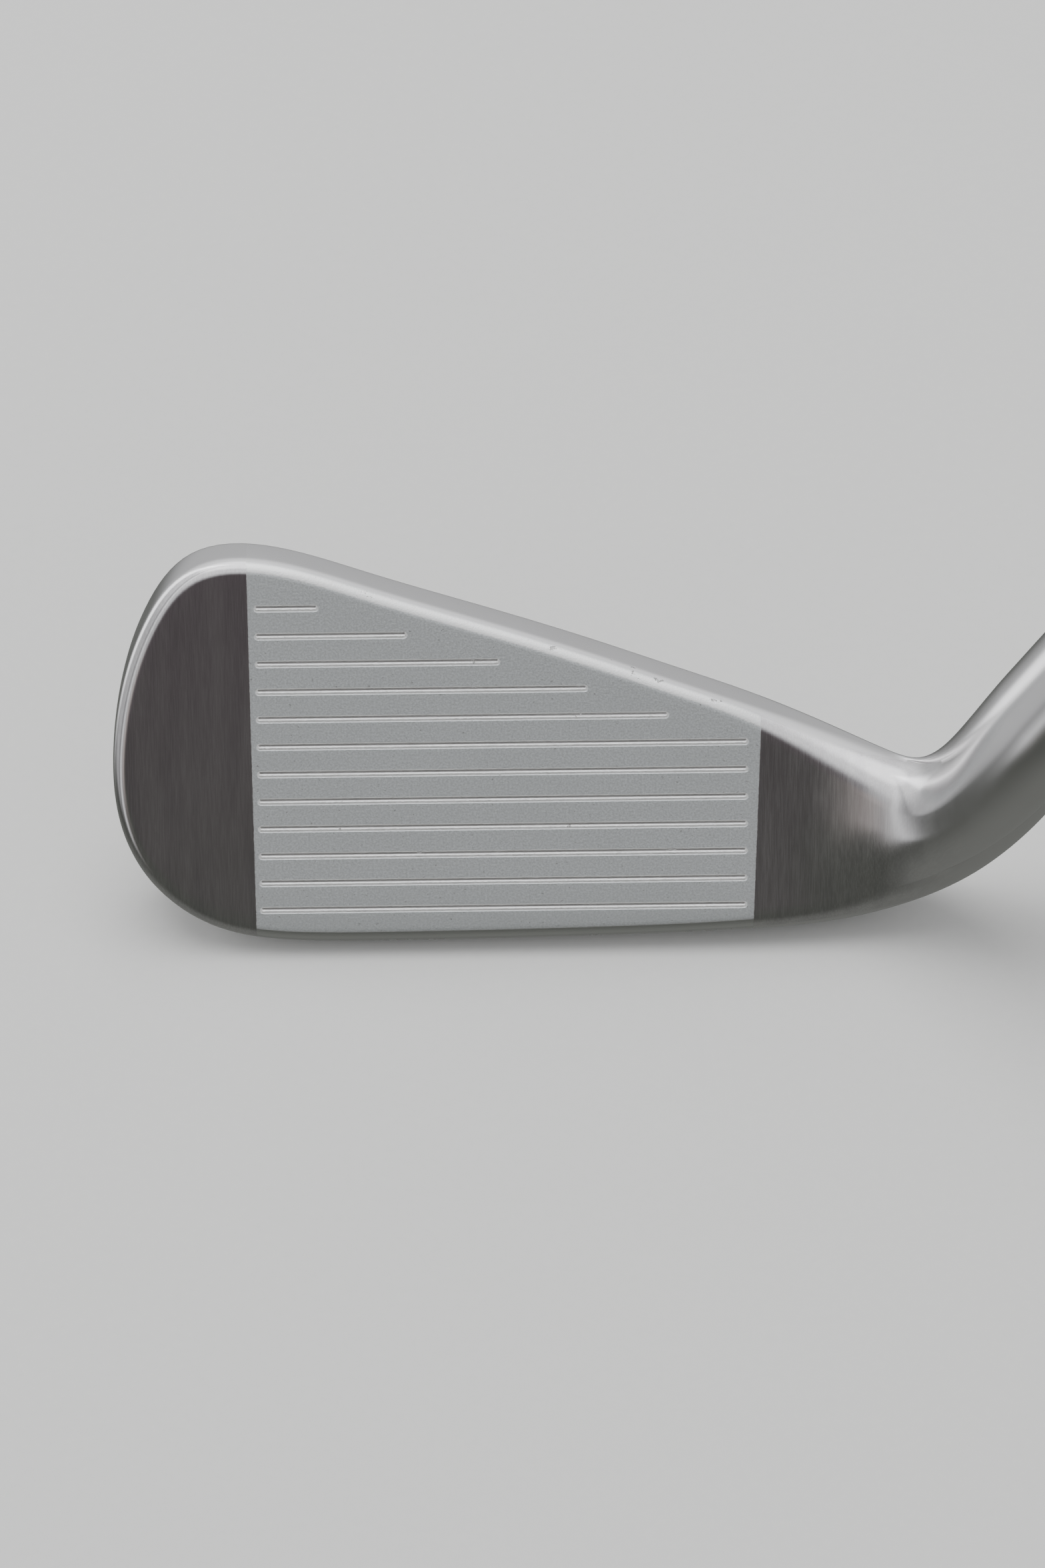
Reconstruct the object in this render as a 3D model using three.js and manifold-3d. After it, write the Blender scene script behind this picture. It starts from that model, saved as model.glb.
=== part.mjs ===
// Iron golf club at address: a one-piece cavity-back head with its hosel, weights, damper and badge,
// a ferrule, a stepped steel shaft and a rubber grip. Millimetres, +Z up, the ground at Z = 0.
// The face looks towards -Y, the toe points towards -X and the shaft rises towards +X.
// The origin is on the flat rest strip of the sole, below the middle of the face.
import * as THREE from 'three';
import { mergeVertices } from 'three/addons/utils/BufferGeometryUtils.js';
import Module from 'manifold-3d';

const wasm = await Module();
wasm.setup();

// ---- driving dimensions -------------------------------------------------------------------------
const LOFT = THREE.MathUtils.degToRad(24);
const LIE = THREE.MathUtils.degToRad(60.5);
const CLUB_LENGTH = 978; // ground to butt cap, measured along the shaft
const BLADE_LENGTH = 85.6; // toe tip to the point where the shaft axis meets the ground
const TOE_HEIGHT = 47.6; // leading edge to the highest point, along the face
const SOLE_WIDTH = 17.6; // face plane to the trailing edge, square to the face
const FACE_SETBACK = 8.2; // the bottom score line lies this far in front of the origin
const REST_STRIP_DEPTH = 0.25; // how much of the curved sole the flat rest strip removes

const SCORE_PITCH = 3.4;
const SCORE_LENGTH = 55.5;
const SCORE_WIDTH = 0.75;
const SCORE_DEPTH = 0.45;
const SCORE_TO_TOPLINE = 4; // the score lines stop this far below the topline

const FACE_THICKNESS = 3.2;
const CAVITY_FLOOR_HEIGHT = 10.5; // the muscle fills the head below this height on the face
const CAVITY_CORNER_RADIUS = 3.2;

const HOSEL_WALL = 1.44;
const HOSEL_START = 40; // distance along the shaft axis from the ground to the round hosel
const HOSEL_END = 66;
const BORE_DEPTH = 29;
const SHAFT_AXIS_SETBACK = 5.3; // the shaft axis lies this far in front of the origin

const TIP_RADIUS = 4.51; // 0.355 inch taper tip
const BUTT_RADIUS = 7.62; // 0.600 inch butt
const SHAFT_WALL = 0.36; // just below each step; the bore is a plain cone
const TIP_WALL = 1;
const FIRST_STEP = 240; // shaft tip to the first step
const STEP_PITCH = 38.1;
const STEP_COUNT = 12;
const STEP_CONE = 3;
const TIP_TAPER = 0.39; // growth of the radius from the tip to the first step

const GLUE_GAP = 0.2; // clearance kept on each side of a glue or tape layer
const GLUE_THICKNESS = 0.25;
const CONTACT_GAP = 0.3; // clearance between faces that touch

const FERRULE_LENGTH = 24;
const FERRULE_TOP_WALL = 0.7;
const GRIP_LENGTH = 264;
const GRIP_MOUTH_WALL = 1.13;
const GRIP_BUTT_WALL = 4.93;
const CAP_THICKNESS = 4;
const VENT_RADIUS = 1.5;

const WEIGHT_RADIUS = 3.9;
const WEIGHT_LENGTH = 7;
const WEIGHT_SPAN = 24; // each muscle weight lies this far from the middle of the face
const WEIGHT_SETBACK = 8.4; // axis of the weights behind the face plane

const DAMPER_THICKNESS = 1.2;
const BADGE_TAPE_THICKNESS = 0.4;
const BADGE_THICKNESS = 1;

// ---- fits that follow from them -----------------------------------------------------------------
const GLUE_INNER = TIP_RADIUS + GLUE_GAP;
const GLUE_OUTER = GLUE_INNER + GLUE_THICKNESS;
const BORE_RADIUS = GLUE_OUTER + GLUE_GAP;
const HOSEL_RADIUS = BORE_RADIUS + HOSEL_WALL;
const BORE_CHAMFER = HOSEL_WALL / 2;
const BORE_BOTTOM = HOSEL_END - BORE_DEPTH;
const SHAFT_TIP = BORE_BOTTOM + 1;
const SHAFT_END = CLUB_LENGTH - CAP_THICKNESS - CONTACT_GAP;
const FIRST_STEP_RADIUS = TIP_RADIUS + TIP_TAPER;
const FERRULE_START = HOSEL_END + CONTACT_GAP;
const FERRULE_BORE = TIP_RADIUS + CONTACT_GAP;
const FERRULE_TOP_RADIUS = FERRULE_BORE + FERRULE_TOP_WALL;
const TAPE_INNER = BUTT_RADIUS + GLUE_GAP;
const TAPE_OUTER = TAPE_INNER + GLUE_THICKNESS;
const GRIP_BORE = TAPE_OUTER + GLUE_GAP;
const GRIP_MOUTH_RADIUS = GRIP_BORE + GRIP_MOUTH_WALL;
const GRIP_BUTT_RADIUS = GRIP_BORE + GRIP_BUTT_WALL;
const GRIP_END = CLUB_LENGTH - CAP_THICKNESS;
const GRIP_START = GRIP_END - GRIP_LENGTH;
const WEIGHT_HOLE_RADIUS = WEIGHT_RADIUS + CONTACT_GAP;
const DAMPER_FRONT = FACE_THICKNESS + CONTACT_GAP;
const BADGE_TAPE_FRONT = DAMPER_FRONT + DAMPER_THICKNESS + CONTACT_GAP;
const BADGE_FRONT = BADGE_TAPE_FRONT + BADGE_TAPE_THICKNESS + CONTACT_GAP;

// ---- facet counts -------------------------------------------------------------------------------
const BLADE_STATIONS = 22;
const CROOK_STATIONS = 14;
const ROUND_SEGMENTS = 32;
const RIM_FACETS = [4, 5, 3]; // front round, band and back round of the rim
const FACE_FACETS = 6;

// ---- materials ----------------------------------------------------------------------------------
function metal(color, roughness) {
  return new THREE.MeshStandardMaterial({ color, roughness, metalness: 1 });
}

function plain(color, roughness) {
  return new THREE.MeshStandardMaterial({ color, roughness, metalness: 0 });
}

const SATIN_CHROME = metal(0xc9c9c7, 0.28);
const SHAFT_CHROME = metal(0xd2d3d5, 0.12);
const TUNGSTEN = metal(0x6f7074, 0.42);
const BADGE_METAL = metal(0x9fa3a8, 0.35);
const TRIM_METAL = metal(0xc4c6ca, 0.22);
const TIP_METAL = metal(0xb08d4c, 0.4);
const ELASTOMER = plain(0x232527, 0.75);
const ADHESIVE = plain(0xe4e2da, 0.6);
const EPOXY = plain(0xb9a76a, 0.4);
const FERRULE_BLACK = plain(0x0c0c0d, 0.18);
const BAND_FILM = plain(0x2a3a52, 0.3);
const TAPE_PAPER = plain(0xd8ccb0, 0.85);
const GRIP_RUBBER = plain(0x1b1b1c, 0.82);

// ---- solids -------------------------------------------------------------------------------------
// Merges shared corners, drops empty triangles and turns every face outwards.
function closedBody(geometry) {
  const bare = geometry.clone();
  bare.deleteAttribute('normal');
  bare.deleteAttribute('uv');
  const merged = mergeVertices(bare, 1e-5);
  const position = merged.attributes.position;
  const source = merged.index.array;
  const triangles = [];
  let volume = 0;
  const corners = [new THREE.Vector3(), new THREE.Vector3(), new THREE.Vector3()];
  for (let i = 0; i < source.length; i += 3) {
    const [a, b, c] = [source[i], source[i + 1], source[i + 2]];
    if (a === b || b === c || c === a) continue;
    triangles.push(a, b, c);
    corners[0].fromBufferAttribute(position, a);
    corners[1].fromBufferAttribute(position, b);
    corners[2].fromBufferAttribute(position, c);
    volume += corners[0].dot(corners[1].clone().cross(corners[2]));
  }
  if (volume < 0) triangles.reverse();
  const body = new THREE.BufferGeometry();
  body.setAttribute('position', position);
  body.setIndex(triangles);
  return body;
}

function toSolid(geometry) {
  const body = closedBody(geometry);
  const vertProperties = new Float32Array(body.attributes.position.array);
  const triVerts = new Uint32Array(body.index.array);
  return new wasm.Manifold(new wasm.Mesh({ numProp: 3, vertProperties, triVerts }));
}

function toGeometry(solid) {
  const mesh = solid.getMesh();
  const geometry = new THREE.BufferGeometry();
  const points = new Float32Array(mesh.numVert * 3);
  for (let i = 0; i < mesh.numVert; i += 1) {
    for (let k = 0; k < 3; k += 1) points[3 * i + k] = mesh.vertProperties[mesh.numProp * i + k];
  }
  geometry.setAttribute('position', new THREE.BufferAttribute(points, 3));
  geometry.setIndex(new THREE.BufferAttribute(new Uint32Array(mesh.triVerts), 1));
  return geometry;
}

function piece(name, geometry, material) {
  const body = closedBody(geometry);
  body.computeVertexNormals();
  const mesh = new THREE.Mesh(body, material);
  mesh.name = name;
  return mesh;
}

// ---- head: rim outline --------------------------------------------------------------------------
// Knots of the rim, from the heel end of the sole round the toe to the heel end of the topline.
// Columns: place along the score lines and up the face (mm, zero in the middle of the bottom score
// line), depth of the head behind the face plane (mm), slope of the rim where it leaves the front
// round and where it enters the back round (degrees), front and back edge radius (mm).
const RIM_KNOTS = [
  [41, -3.1, 12.6, 14, 40, 3.8, 3],
  [36.5, -3.7, 13.8, 15, 38, 3.4, 2.6],
  [30, -4, 15.4, 16, 34, 2.8, 2.2],
  [21, -4.3, 16.8, 17, 32, 2.5, 2],
  [10.5, -4.6, 17.5, 17, 32, 2.5, 2],
  [-1, -4.8, 17.6, 17, 32, 2.5, 2],
  [-13, -4.9, 17.3, 17, 32, 2.5, 2],
  [-23, -4.7, 16.2, 17, 32, 2.4, 2],
  [-31.5, -3.3, 14, 14, 30, 2.2, 2],
  [-38.2, 0.9, 11.6, 8, 24, 1.9, 2],
  [-42.5, 7.4, 9.9, 2, 16, 1.7, 1.9],
  [-44.1, 16, 8.8, -2, 9, 1.6, 1.8],
  [-43.2, 26, 7.9, -3, 6, 1.6, 1.6],
  [-40.3, 35, 7.2, -3, 4, 1.6, 1.5],
  [-34.8, 41.9, 6.8, -3, 3, 1.6, 1.4],
  [-25.5, 42.7, 6.5, -3, 3, 1.6, 1.3],
  [-14.5, 39.3, 6.4, -3, 3, 1.6, 1.3],
  [-3, 35.5, 6.4, -3, 3, 1.6, 1.3],
  [8.5, 31.6, 6.4, -3, 3, 1.6, 1.3],
  [19, 27.7, 6.4, -3, 3, 1.6, 1.3],
  [28.5, 24.1, 6.4, -3, 3, 1.9, 1.4],
  [37, 20.5, 6.4, -3, 3, 3.2, 1.6],
  [43.5, 17.9, 6.6, -2, 4, 4.6, 1.8],
];
const TOE_KNOT = (RIM_KNOTS.length - 1) / 2;
const HIGHEST_KNOT = 15;
const ALONG = BLADE_LENGTH / 85.6;
const UP = TOE_HEIGHT / 47.6;
const DEEP = SOLE_WIDTH / 17.6;
const SHAFT_GROUND_X = 41.5 * ALONG;

// Natural cubic spline through evenly spaced values: returns the value and its slope at t.
function naturalSpline(values) {
  const last = values.length - 1;
  const bend = new Array(last + 1).fill(0);
  const carry = new Array(last + 1).fill(0);
  const rest = new Array(last + 1).fill(0);
  for (let i = 1; i < last; i += 1) {
    const pivot = 4 - carry[i - 1];
    carry[i] = 1 / pivot;
    rest[i] = (6 * (values[i - 1] - 2 * values[i] + values[i + 1]) - rest[i - 1]) / pivot;
  }
  for (let i = last - 1; i > 0; i -= 1) bend[i] = rest[i] - carry[i] * bend[i + 1];
  return (t) => {
    const i = Math.min(Math.max(Math.floor(t), 0), last - 1);
    const x = t - i;
    const y = 1 - x;
    const value = values[i] * y + values[i + 1] * x
      + ((y ** 3 - y) * bend[i] + (x ** 3 - x) * bend[i + 1]) / 6;
    const slope = values[i + 1] - values[i]
      + ((1 - 3 * y * y) * bend[i] + (3 * x * x - 1) * bend[i + 1]) / 6;
    return [value, slope];
  };
}

const COLUMN_SCALE = [ALONG, UP, DEEP, 1, 1, 1, 1];
const rimSplines = COLUMN_SCALE.map((scale, k) => naturalSpline(RIM_KNOTS.map((row) => row[k] * scale)));

// Adds an arc that turns from heading a to heading b to a path of [inward, backward] points.
function addArc(path, a, b, radius, facets) {
  for (let i = 0; i < facets; i += 1) {
    const from = a + ((b - a) * i) / facets;
    const to = a + ((b - a) * (i + 1)) / facets;
    const [inward, backward] = path[path.length - 1];
    path.push([
      inward + radius * (Math.cos(from) - Math.cos(to)),
      backward + radius * (Math.sin(to) - Math.sin(from)),
    ]);
  }
}

// Section of the rim at spline place t: points [along, up, behind] from the face to the back.
function rimSection(t) {
  const row = rimSplines.map((f) => f(t));
  const [[u, du], [v, dv], [depth], [front], [back], [frontRound], [backRound]] = row;
  const startSlope = THREE.MathUtils.degToRad(front);
  const endSlope = THREE.MathUtils.degToRad(back);
  const path = [[0, 0]];
  addArc(path, -Math.PI / 2, startSlope, frontRound, RIM_FACETS[0]);
  const bandDepth = depth - backRound * (1 - Math.sin(endSlope)) - path[path.length - 1][1];
  const bandRadius = bandDepth / (Math.sin(endSlope) - Math.sin(startSlope));
  addArc(path, startSlope, endSlope, bandRadius, RIM_FACETS[1]);
  addArc(path, endSlope, Math.PI / 2, backRound, RIM_FACETS[2]);
  const outermost = Math.min(...path.map((p) => p[0]));
  const step = Math.hypot(du, dv);
  const outU = -dv / step;
  const outV = du / step;
  return path.map(([inward, behind]) => [
    u - (inward - outermost) * outU,
    v - (inward - outermost) * outV,
    behind,
  ]);
}

function between(a, b, count) {
  const points = [];
  for (let i = 1; i < count; i += 1) {
    points.push(a.map((value, k) => value + ((b[k] - value) * i) / count));
  }
  return points;
}

// The heel end of the blade bends forward to meet the hosel: from this place along the score lines,
// with this radius, and growing from nothing to the full bend between these two heights.
const HEEL_BEND_START = 32 * ALONG;
const HEEL_BEND_RADIUS = 28 * ALONG;
const HEEL_BEND_HEIGHTS = [-3 * UP, 10 * UP];

function heelBend([u, v, w]) {
  const past = Math.max(0, u - HEEL_BEND_START);
  const share = THREE.MathUtils.smoothstep(v, ...HEEL_BEND_HEIGHTS);
  return [u, v, w - (share * past ** 2) / (2 * HEEL_BEND_RADIUS)];
}

// Closed loop round the blade: up the face, over the topline, down the back and under the sole.
function bladeLoop(place) {
  const over = rimSection(TOE_KNOT + place);
  const under = rimSection(TOE_KNOT - place);
  return [
    under[0],
    ...between(under[0], over[0], FACE_FACETS),
    ...over,
    ...between(over[over.length - 1], under[under.length - 1], FACE_FACETS),
    ...under.slice(1).reverse(),
  ].map(heelBend);
}

const bladeStations = [];
for (let i = 0; i <= BLADE_STATIONS; i += 1) {
  bladeStations.push(bladeLoop(TOE_KNOT * (i / BLADE_STATIONS) ** 1.35));
}
const SIN_LOFT = Math.sin(LOFT);
const COS_LOFT = Math.cos(LOFT);
const lowestSole = Math.min(...bladeStations.flat().map(([, v, w]) => v * COS_LOFT - w * SIN_LOFT));
const FACE_LIFT = -lowestSole - REST_STRIP_DEPTH;

// Place given along the score lines, up the face and behind the face plane.
function onFace(u, v, w) {
  return new THREE.Vector3(
    u,
    v * SIN_LOFT + w * COS_LOFT - FACE_SETBACK,
    v * COS_LOFT - w * SIN_LOFT + FACE_LIFT,
  );
}

const FACE_FRAME = new THREE.Matrix4().makeBasis(
  new THREE.Vector3(1, 0, 0),
  new THREE.Vector3(0, SIN_LOFT, COS_LOFT),
  new THREE.Vector3(0, -COS_LOFT, SIN_LOFT),
).setPosition(onFace(0, 0, 0));

// ---- head: crook and hosel ----------------------------------------------------------------------
const SHAFT_AXIS = new THREE.Vector3(Math.cos(LIE), 0, Math.sin(LIE));
const SHAFT_FRAME = new THREE.Matrix4().makeRotationY(Math.PI / 2 - LIE)
  .multiply(new THREE.Matrix4().makeRotationX(Math.PI / 2))
  .setPosition(SHAFT_GROUND_X, -SHAFT_AXIS_SETBACK, 0);
const TOWARDS_TOE = new THREE.Vector3(-Math.sin(LIE), 0, Math.cos(LIE));
const TOWARDS_FRONT = new THREE.Vector3(0, -1, 0);

// Angles round the hosel, from the front towards the toe side, that each stretch of a loop ends on.
const HOSEL_ANGLES = [-42, 48, 128, 222, 318];

function hoselAngles() {
  const rimFacets = RIM_FACETS.reduce((sum, count) => sum + count, 0);
  const stretches = [FACE_FACETS, rimFacets, FACE_FACETS, rimFacets];
  const angles = [];
  stretches.forEach((facets, k) => {
    for (let i = 0; i < facets; i += 1) {
      const angle = HOSEL_ANGLES[k] + ((HOSEL_ANGLES[k + 1] - HOSEL_ANGLES[k]) * i) / facets;
      angles.push(THREE.MathUtils.degToRad(angle));
    }
  });
  return angles;
}

function hoselLoop(distance, angles) {
  return angles.map((angle) => new THREE.Vector3(SHAFT_GROUND_X, -SHAFT_AXIS_SETBACK, 0)
    .addScaledVector(SHAFT_AXIS, distance)
    .addScaledVector(TOWARDS_FRONT, HOSEL_RADIUS * Math.cos(angle))
    .addScaledVector(TOWARDS_TOE, HOSEL_RADIUS * Math.sin(angle)));
}

// How far the sweep keeps the blade's direction, then the hosel's: on the outside of the bend
// and on its inside.
const LEAVE_BLADE = [56, 18];
const JOIN_HOSEL = [12, 37];

function crookLoops() {
  const angles = hoselAngles();
  const start = bladeStations[BLADE_STATIONS].map((p) => onFace(...p));
  const before = bladeLoop(TOE_KNOT - 0.001).map((p) => onFace(...p));
  const end = hoselLoop(HOSEL_START, angles);
  const leave = start.map((point, k) => {
    const inside = (Math.sin(angles[k]) + 1) / 2;
    return point.clone().sub(before[k]).setLength(THREE.MathUtils.lerp(...LEAVE_BLADE, inside));
  });
  const join = angles.map((angle) => {
    const inside = (Math.sin(angle) + 1) / 2;
    return SHAFT_AXIS.clone().setLength(THREE.MathUtils.lerp(...JOIN_HOSEL, inside));
  });
  const loops = [];
  for (let i = 1; i <= CROOK_STATIONS; i += 1) {
    const t = i / CROOK_STATIONS;
    loops.push(start.map((point, k) => new THREE.Vector3()
      .addScaledVector(point, 2 * t ** 3 - 3 * t ** 2 + 1)
      .addScaledVector(leave[k], t ** 3 - 2 * t ** 2 + t)
      .addScaledVector(end[k], 3 * t ** 2 - 2 * t ** 3)
      .addScaledVector(join[k], t ** 3 - t ** 2)));
  }
  loops.push(hoselLoop(HOSEL_END, angles));
  return loops;
}

// Skin over the loops. The first loop has shrunk to the toe tip's section; the last gets a flat end.
function sweptSkin(loops) {
  const size = loops[0].length;
  const points = loops.flat();
  const triangles = [];
  for (let i = 0; i < loops.length - 1; i += 1) {
    for (let k = 0; k < size; k += 1) {
      const next = (k + 1) % size;
      const [a, b] = [i * size + k, i * size + next];
      triangles.push(a, b, b + size, a, b + size, a + size);
    }
  }
  const lastLoop = loops[loops.length - 1];
  const middle = lastLoop.reduce((sum, p) => sum.add(p), new THREE.Vector3()).divideScalar(size);
  points.push(middle);
  const base = (loops.length - 1) * size;
  for (let k = 0; k < size; k += 1) triangles.push(base + k, base + ((k + 1) % size), points.length - 1);
  const geometry = new THREE.BufferGeometry().setFromPoints(points);
  geometry.setIndex(triangles);
  return geometry;
}

// ---- shapes that the cuts and the inlays share --------------------------------------------------
// Polygon with equally rounded corners, drawn inset from the given corners.
function roundedShape(corners, radius, inset) {
  const count = corners.length;
  const centres = corners.map((corner, i) => {
    const before = corners[(i + count - 1) % count].clone().sub(corner).normalize();
    const after = corners[(i + 1) % count].clone().sub(corner).normalize();
    const half = Math.acos(THREE.MathUtils.clamp(before.dot(after), -1, 1)) / 2;
    const reach = Math.max(radius, inset + 0.5) / Math.sin(half);
    return corner.clone().addScaledVector(before.add(after).normalize(), reach);
  });
  const edgeRadius = Math.max(radius, inset + 0.5) - inset;
  const shape = new THREE.Shape();
  corners.forEach((corner, i) => {
    const incoming = corner.clone().sub(corners[(i + count - 1) % count]);
    const outgoing = corners[(i + 1) % count].clone().sub(corner);
    const from = Math.atan2(incoming.y, incoming.x) - Math.PI / 2;
    const to = Math.atan2(outgoing.y, outgoing.x) - Math.PI / 2;
    shape.absarc(centres[i].x, centres[i].y, edgeRadius, from, to, false);
  });
  shape.closePath();
  return shape;
}

// Prism on the face frame between two depths behind the face plane.
function facePrism(shape, shallow, deep, curveSegments) {
  const geometry = new THREE.ExtrudeGeometry(shape, {
    depth: deep - shallow,
    bevelEnabled: false,
    curveSegments,
  });
  return geometry.translate(0, 0, -deep).applyMatrix4(FACE_FRAME);
}

// Corners of the cavity, counter-clockwise as seen from the front: muscle ledge, heel, topline, toe.
const CAVITY_CORNERS = [
  [-36, CAVITY_FLOOR_HEIGHT],
  [33, CAVITY_FLOOR_HEIGHT],
  [30.5, 17.2],
  [-24.5, 35.4],
  [-33, 34.2],
  [-37.3, 22],
].map(([u, v]) => new THREE.Vector2(u * ALONG, v * UP));

function cavityPrism(inset, shallow, deep) {
  return facePrism(roundedShape(CAVITY_CORNERS, CAVITY_CORNER_RADIUS, inset), shallow, deep, 5);
}

const highestScoreLine = rimSplines[1](HIGHEST_KNOT)[0] - SCORE_TO_TOPLINE;

// Place along the score lines where the topline has come down to the given height.
function toplineReach(height) {
  let [high, low] = [HIGHEST_KNOT, RIM_KNOTS.length - 1];
  for (let i = 0; i < 40; i += 1) {
    const middle = (high + low) / 2;
    if (rimSplines[1](middle)[0] > height) high = middle;
    else low = middle;
  }
  return rimSplines[0](low)[0];
}

// Horizontal groove with round ends: all start level at the toe, and the topline shortens the
// upper ones at the heel end.
function scoreLine(row) {
  const left = -SCORE_LENGTH / 2;
  const height = row * SCORE_PITCH;
  const right = Math.min(SCORE_LENGTH / 2, toplineReach(height + SCORE_TO_TOPLINE));
  const half = SCORE_WIDTH / 2;
  const shape = new THREE.Shape();
  shape.absarc(left + half, height, half, Math.PI / 2, (3 * Math.PI) / 2, false);
  shape.absarc(right - half, height, half, -Math.PI / 2, Math.PI / 2, false);
  shape.closePath();
  return facePrism(shape, -1, SCORE_DEPTH, 4);
}

// Solid or ring of revolution about the shaft axis; profile points are [radius, distance].
function turned(profile, segments = ROUND_SEGMENTS) {
  const points = [...profile, profile[0]].map(([r, h]) => new THREE.Vector2(r, h));
  const [first, last] = [profile[0], profile[profile.length - 1]];
  const onAxis = first[0] === 0 && last[0] === 0;
  return new THREE.LatheGeometry(onAxis ? points.slice(0, -1) : points, segments);
}

function onShaft(geometry) {
  return geometry.applyMatrix4(SHAFT_FRAME);
}

// ---- pieces -------------------------------------------------------------------------------------
// Upright cylinder on the face frame, its top level with the ledge of the muscle.
function muscleCylinder(side, radius, top, length) {
  const middle = CAVITY_FLOOR_HEIGHT * UP + top - length / 2;
  return new THREE.CylinderGeometry(radius, radius, length, 24)
    .translate(side * WEIGHT_SPAN * ALONG, middle, -WEIGHT_SETBACK * DEEP)
    .applyMatrix4(FACE_FRAME);
}

function clubHead() {
  const loops = [...bladeStations.map((loop) => loop.map((p) => onFace(...p))), ...crookLoops()];
  let head = toSolid(sweptSkin(loops));
  const ground = new THREE.BoxGeometry(300, 100, 10).translate(0, 0, -5);
  const bore = onShaft(turned([
    [0, BORE_BOTTOM],
    [BORE_RADIUS, BORE_BOTTOM + 1],
    [BORE_RADIUS, HOSEL_END - BORE_CHAMFER],
    [BORE_RADIUS + 2 * BORE_CHAMFER, HOSEL_END + BORE_CHAMFER],
    [0, HOSEL_END + BORE_CHAMFER],
  ]));
  const cuts = [ground, bore, cavityPrism(0, FACE_THICKNESS, 40)];
  for (const side of [-1, 1]) {
    cuts.push(muscleCylinder(side, WEIGHT_HOLE_RADIUS, 2, WEIGHT_LENGTH + 2 + 2 * CONTACT_GAP));
  }
  for (let row = 0; row * SCORE_PITCH < highestScoreLine; row += 1) cuts.push(scoreLine(row));
  for (const cut of cuts) head = head.subtract(toSolid(cut));
  return piece('club_head', toGeometry(head), SATIN_CHROME);
}

function muscleWeight(name, side) {
  return piece(name, muscleCylinder(side, WEIGHT_RADIUS, -CONTACT_GAP, WEIGHT_LENGTH), TUNGSTEN);
}

function cavityStack() {
  const damper = cavityPrism(0.8, DAMPER_FRONT, DAMPER_FRONT + DAMPER_THICKNESS);
  const tape = cavityPrism(2.2, BADGE_TAPE_FRONT, BADGE_TAPE_FRONT + BADGE_TAPE_THICKNESS);
  const badge = cavityPrism(1.8, BADGE_FRONT, BADGE_FRONT + BADGE_THICKNESS);
  return [
    piece('cavity_damper', damper, ELASTOMER),
    piece('badge_adhesive', tape, ADHESIVE),
    piece('cavity_badge', badge, BADGE_METAL),
  ];
}

function shaftRadius(step) {
  return FIRST_STEP_RADIUS + ((BUTT_RADIUS - FIRST_STEP_RADIUS) * step) / STEP_COUNT;
}

function shaft() {
  const outside = [
    [TIP_RADIUS - 0.3, SHAFT_TIP],
    [TIP_RADIUS, SHAFT_TIP + 0.8],
    [TIP_RADIUS, FERRULE_START + FERRULE_LENGTH],
  ];
  for (let step = 0; step < STEP_COUNT; step += 1) {
    const place = SHAFT_TIP + FIRST_STEP + step * STEP_PITCH;
    outside.push([shaftRadius(step), place], [shaftRadius(step + 1), place + STEP_CONE]);
  }
  outside.push([BUTT_RADIUS, SHAFT_END]);
  const inside = [
    [BUTT_RADIUS - SHAFT_WALL, SHAFT_END],
    [BUTT_RADIUS - SHAFT_WALL, SHAFT_TIP + FIRST_STEP + STEP_COUNT * STEP_PITCH],
    [FIRST_STEP_RADIUS - SHAFT_WALL, SHAFT_TIP + FIRST_STEP],
    [TIP_RADIUS - TIP_WALL, SHAFT_TIP + 40],
    [TIP_RADIUS - TIP_WALL, SHAFT_TIP],
  ];
  return piece('shaft', onShaft(turned([...outside, ...inside])), SHAFT_CHROME);
}

function hoselParts() {
  const tipInner = TIP_RADIUS - TIP_WALL;
  const plug = turned([
    [0, SHAFT_TIP + 0.5],
    [tipInner - CONTACT_GAP, SHAFT_TIP + 0.5],
    [tipInner - CONTACT_GAP, SHAFT_TIP + 16],
    [tipInner - 1, SHAFT_TIP + 17],
    [0, SHAFT_TIP + 17],
  ], 20);
  const glue = turned([
    [GLUE_INNER, SHAFT_TIP + 1.5],
    [GLUE_OUTER, SHAFT_TIP + 1.5],
    [GLUE_OUTER, HOSEL_END - 1.5],
    [GLUE_INNER, HOSEL_END - 1.5],
  ]);
  return [
    piece('tip_weight', onShaft(plug), TIP_METAL),
    piece('hosel_epoxy', onShaft(glue), EPOXY),
  ];
}

// The ferrule narrows from the hosel to just over the shaft; two trim rings sit in its grooves.
const FERRULE_COLLAR = 4;
const RING_WIDTH = 1;
const RING_DEPTH = 0.7;
const RING_PLACES = [1.4, FERRULE_COLLAR + 1];

function ferruleRadius(place) {
  const t = Math.max(0, (place - FERRULE_COLLAR) / (FERRULE_LENGTH - FERRULE_COLLAR));
  return THREE.MathUtils.lerp(HOSEL_RADIUS, FERRULE_TOP_RADIUS, t ** 0.8);
}

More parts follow.
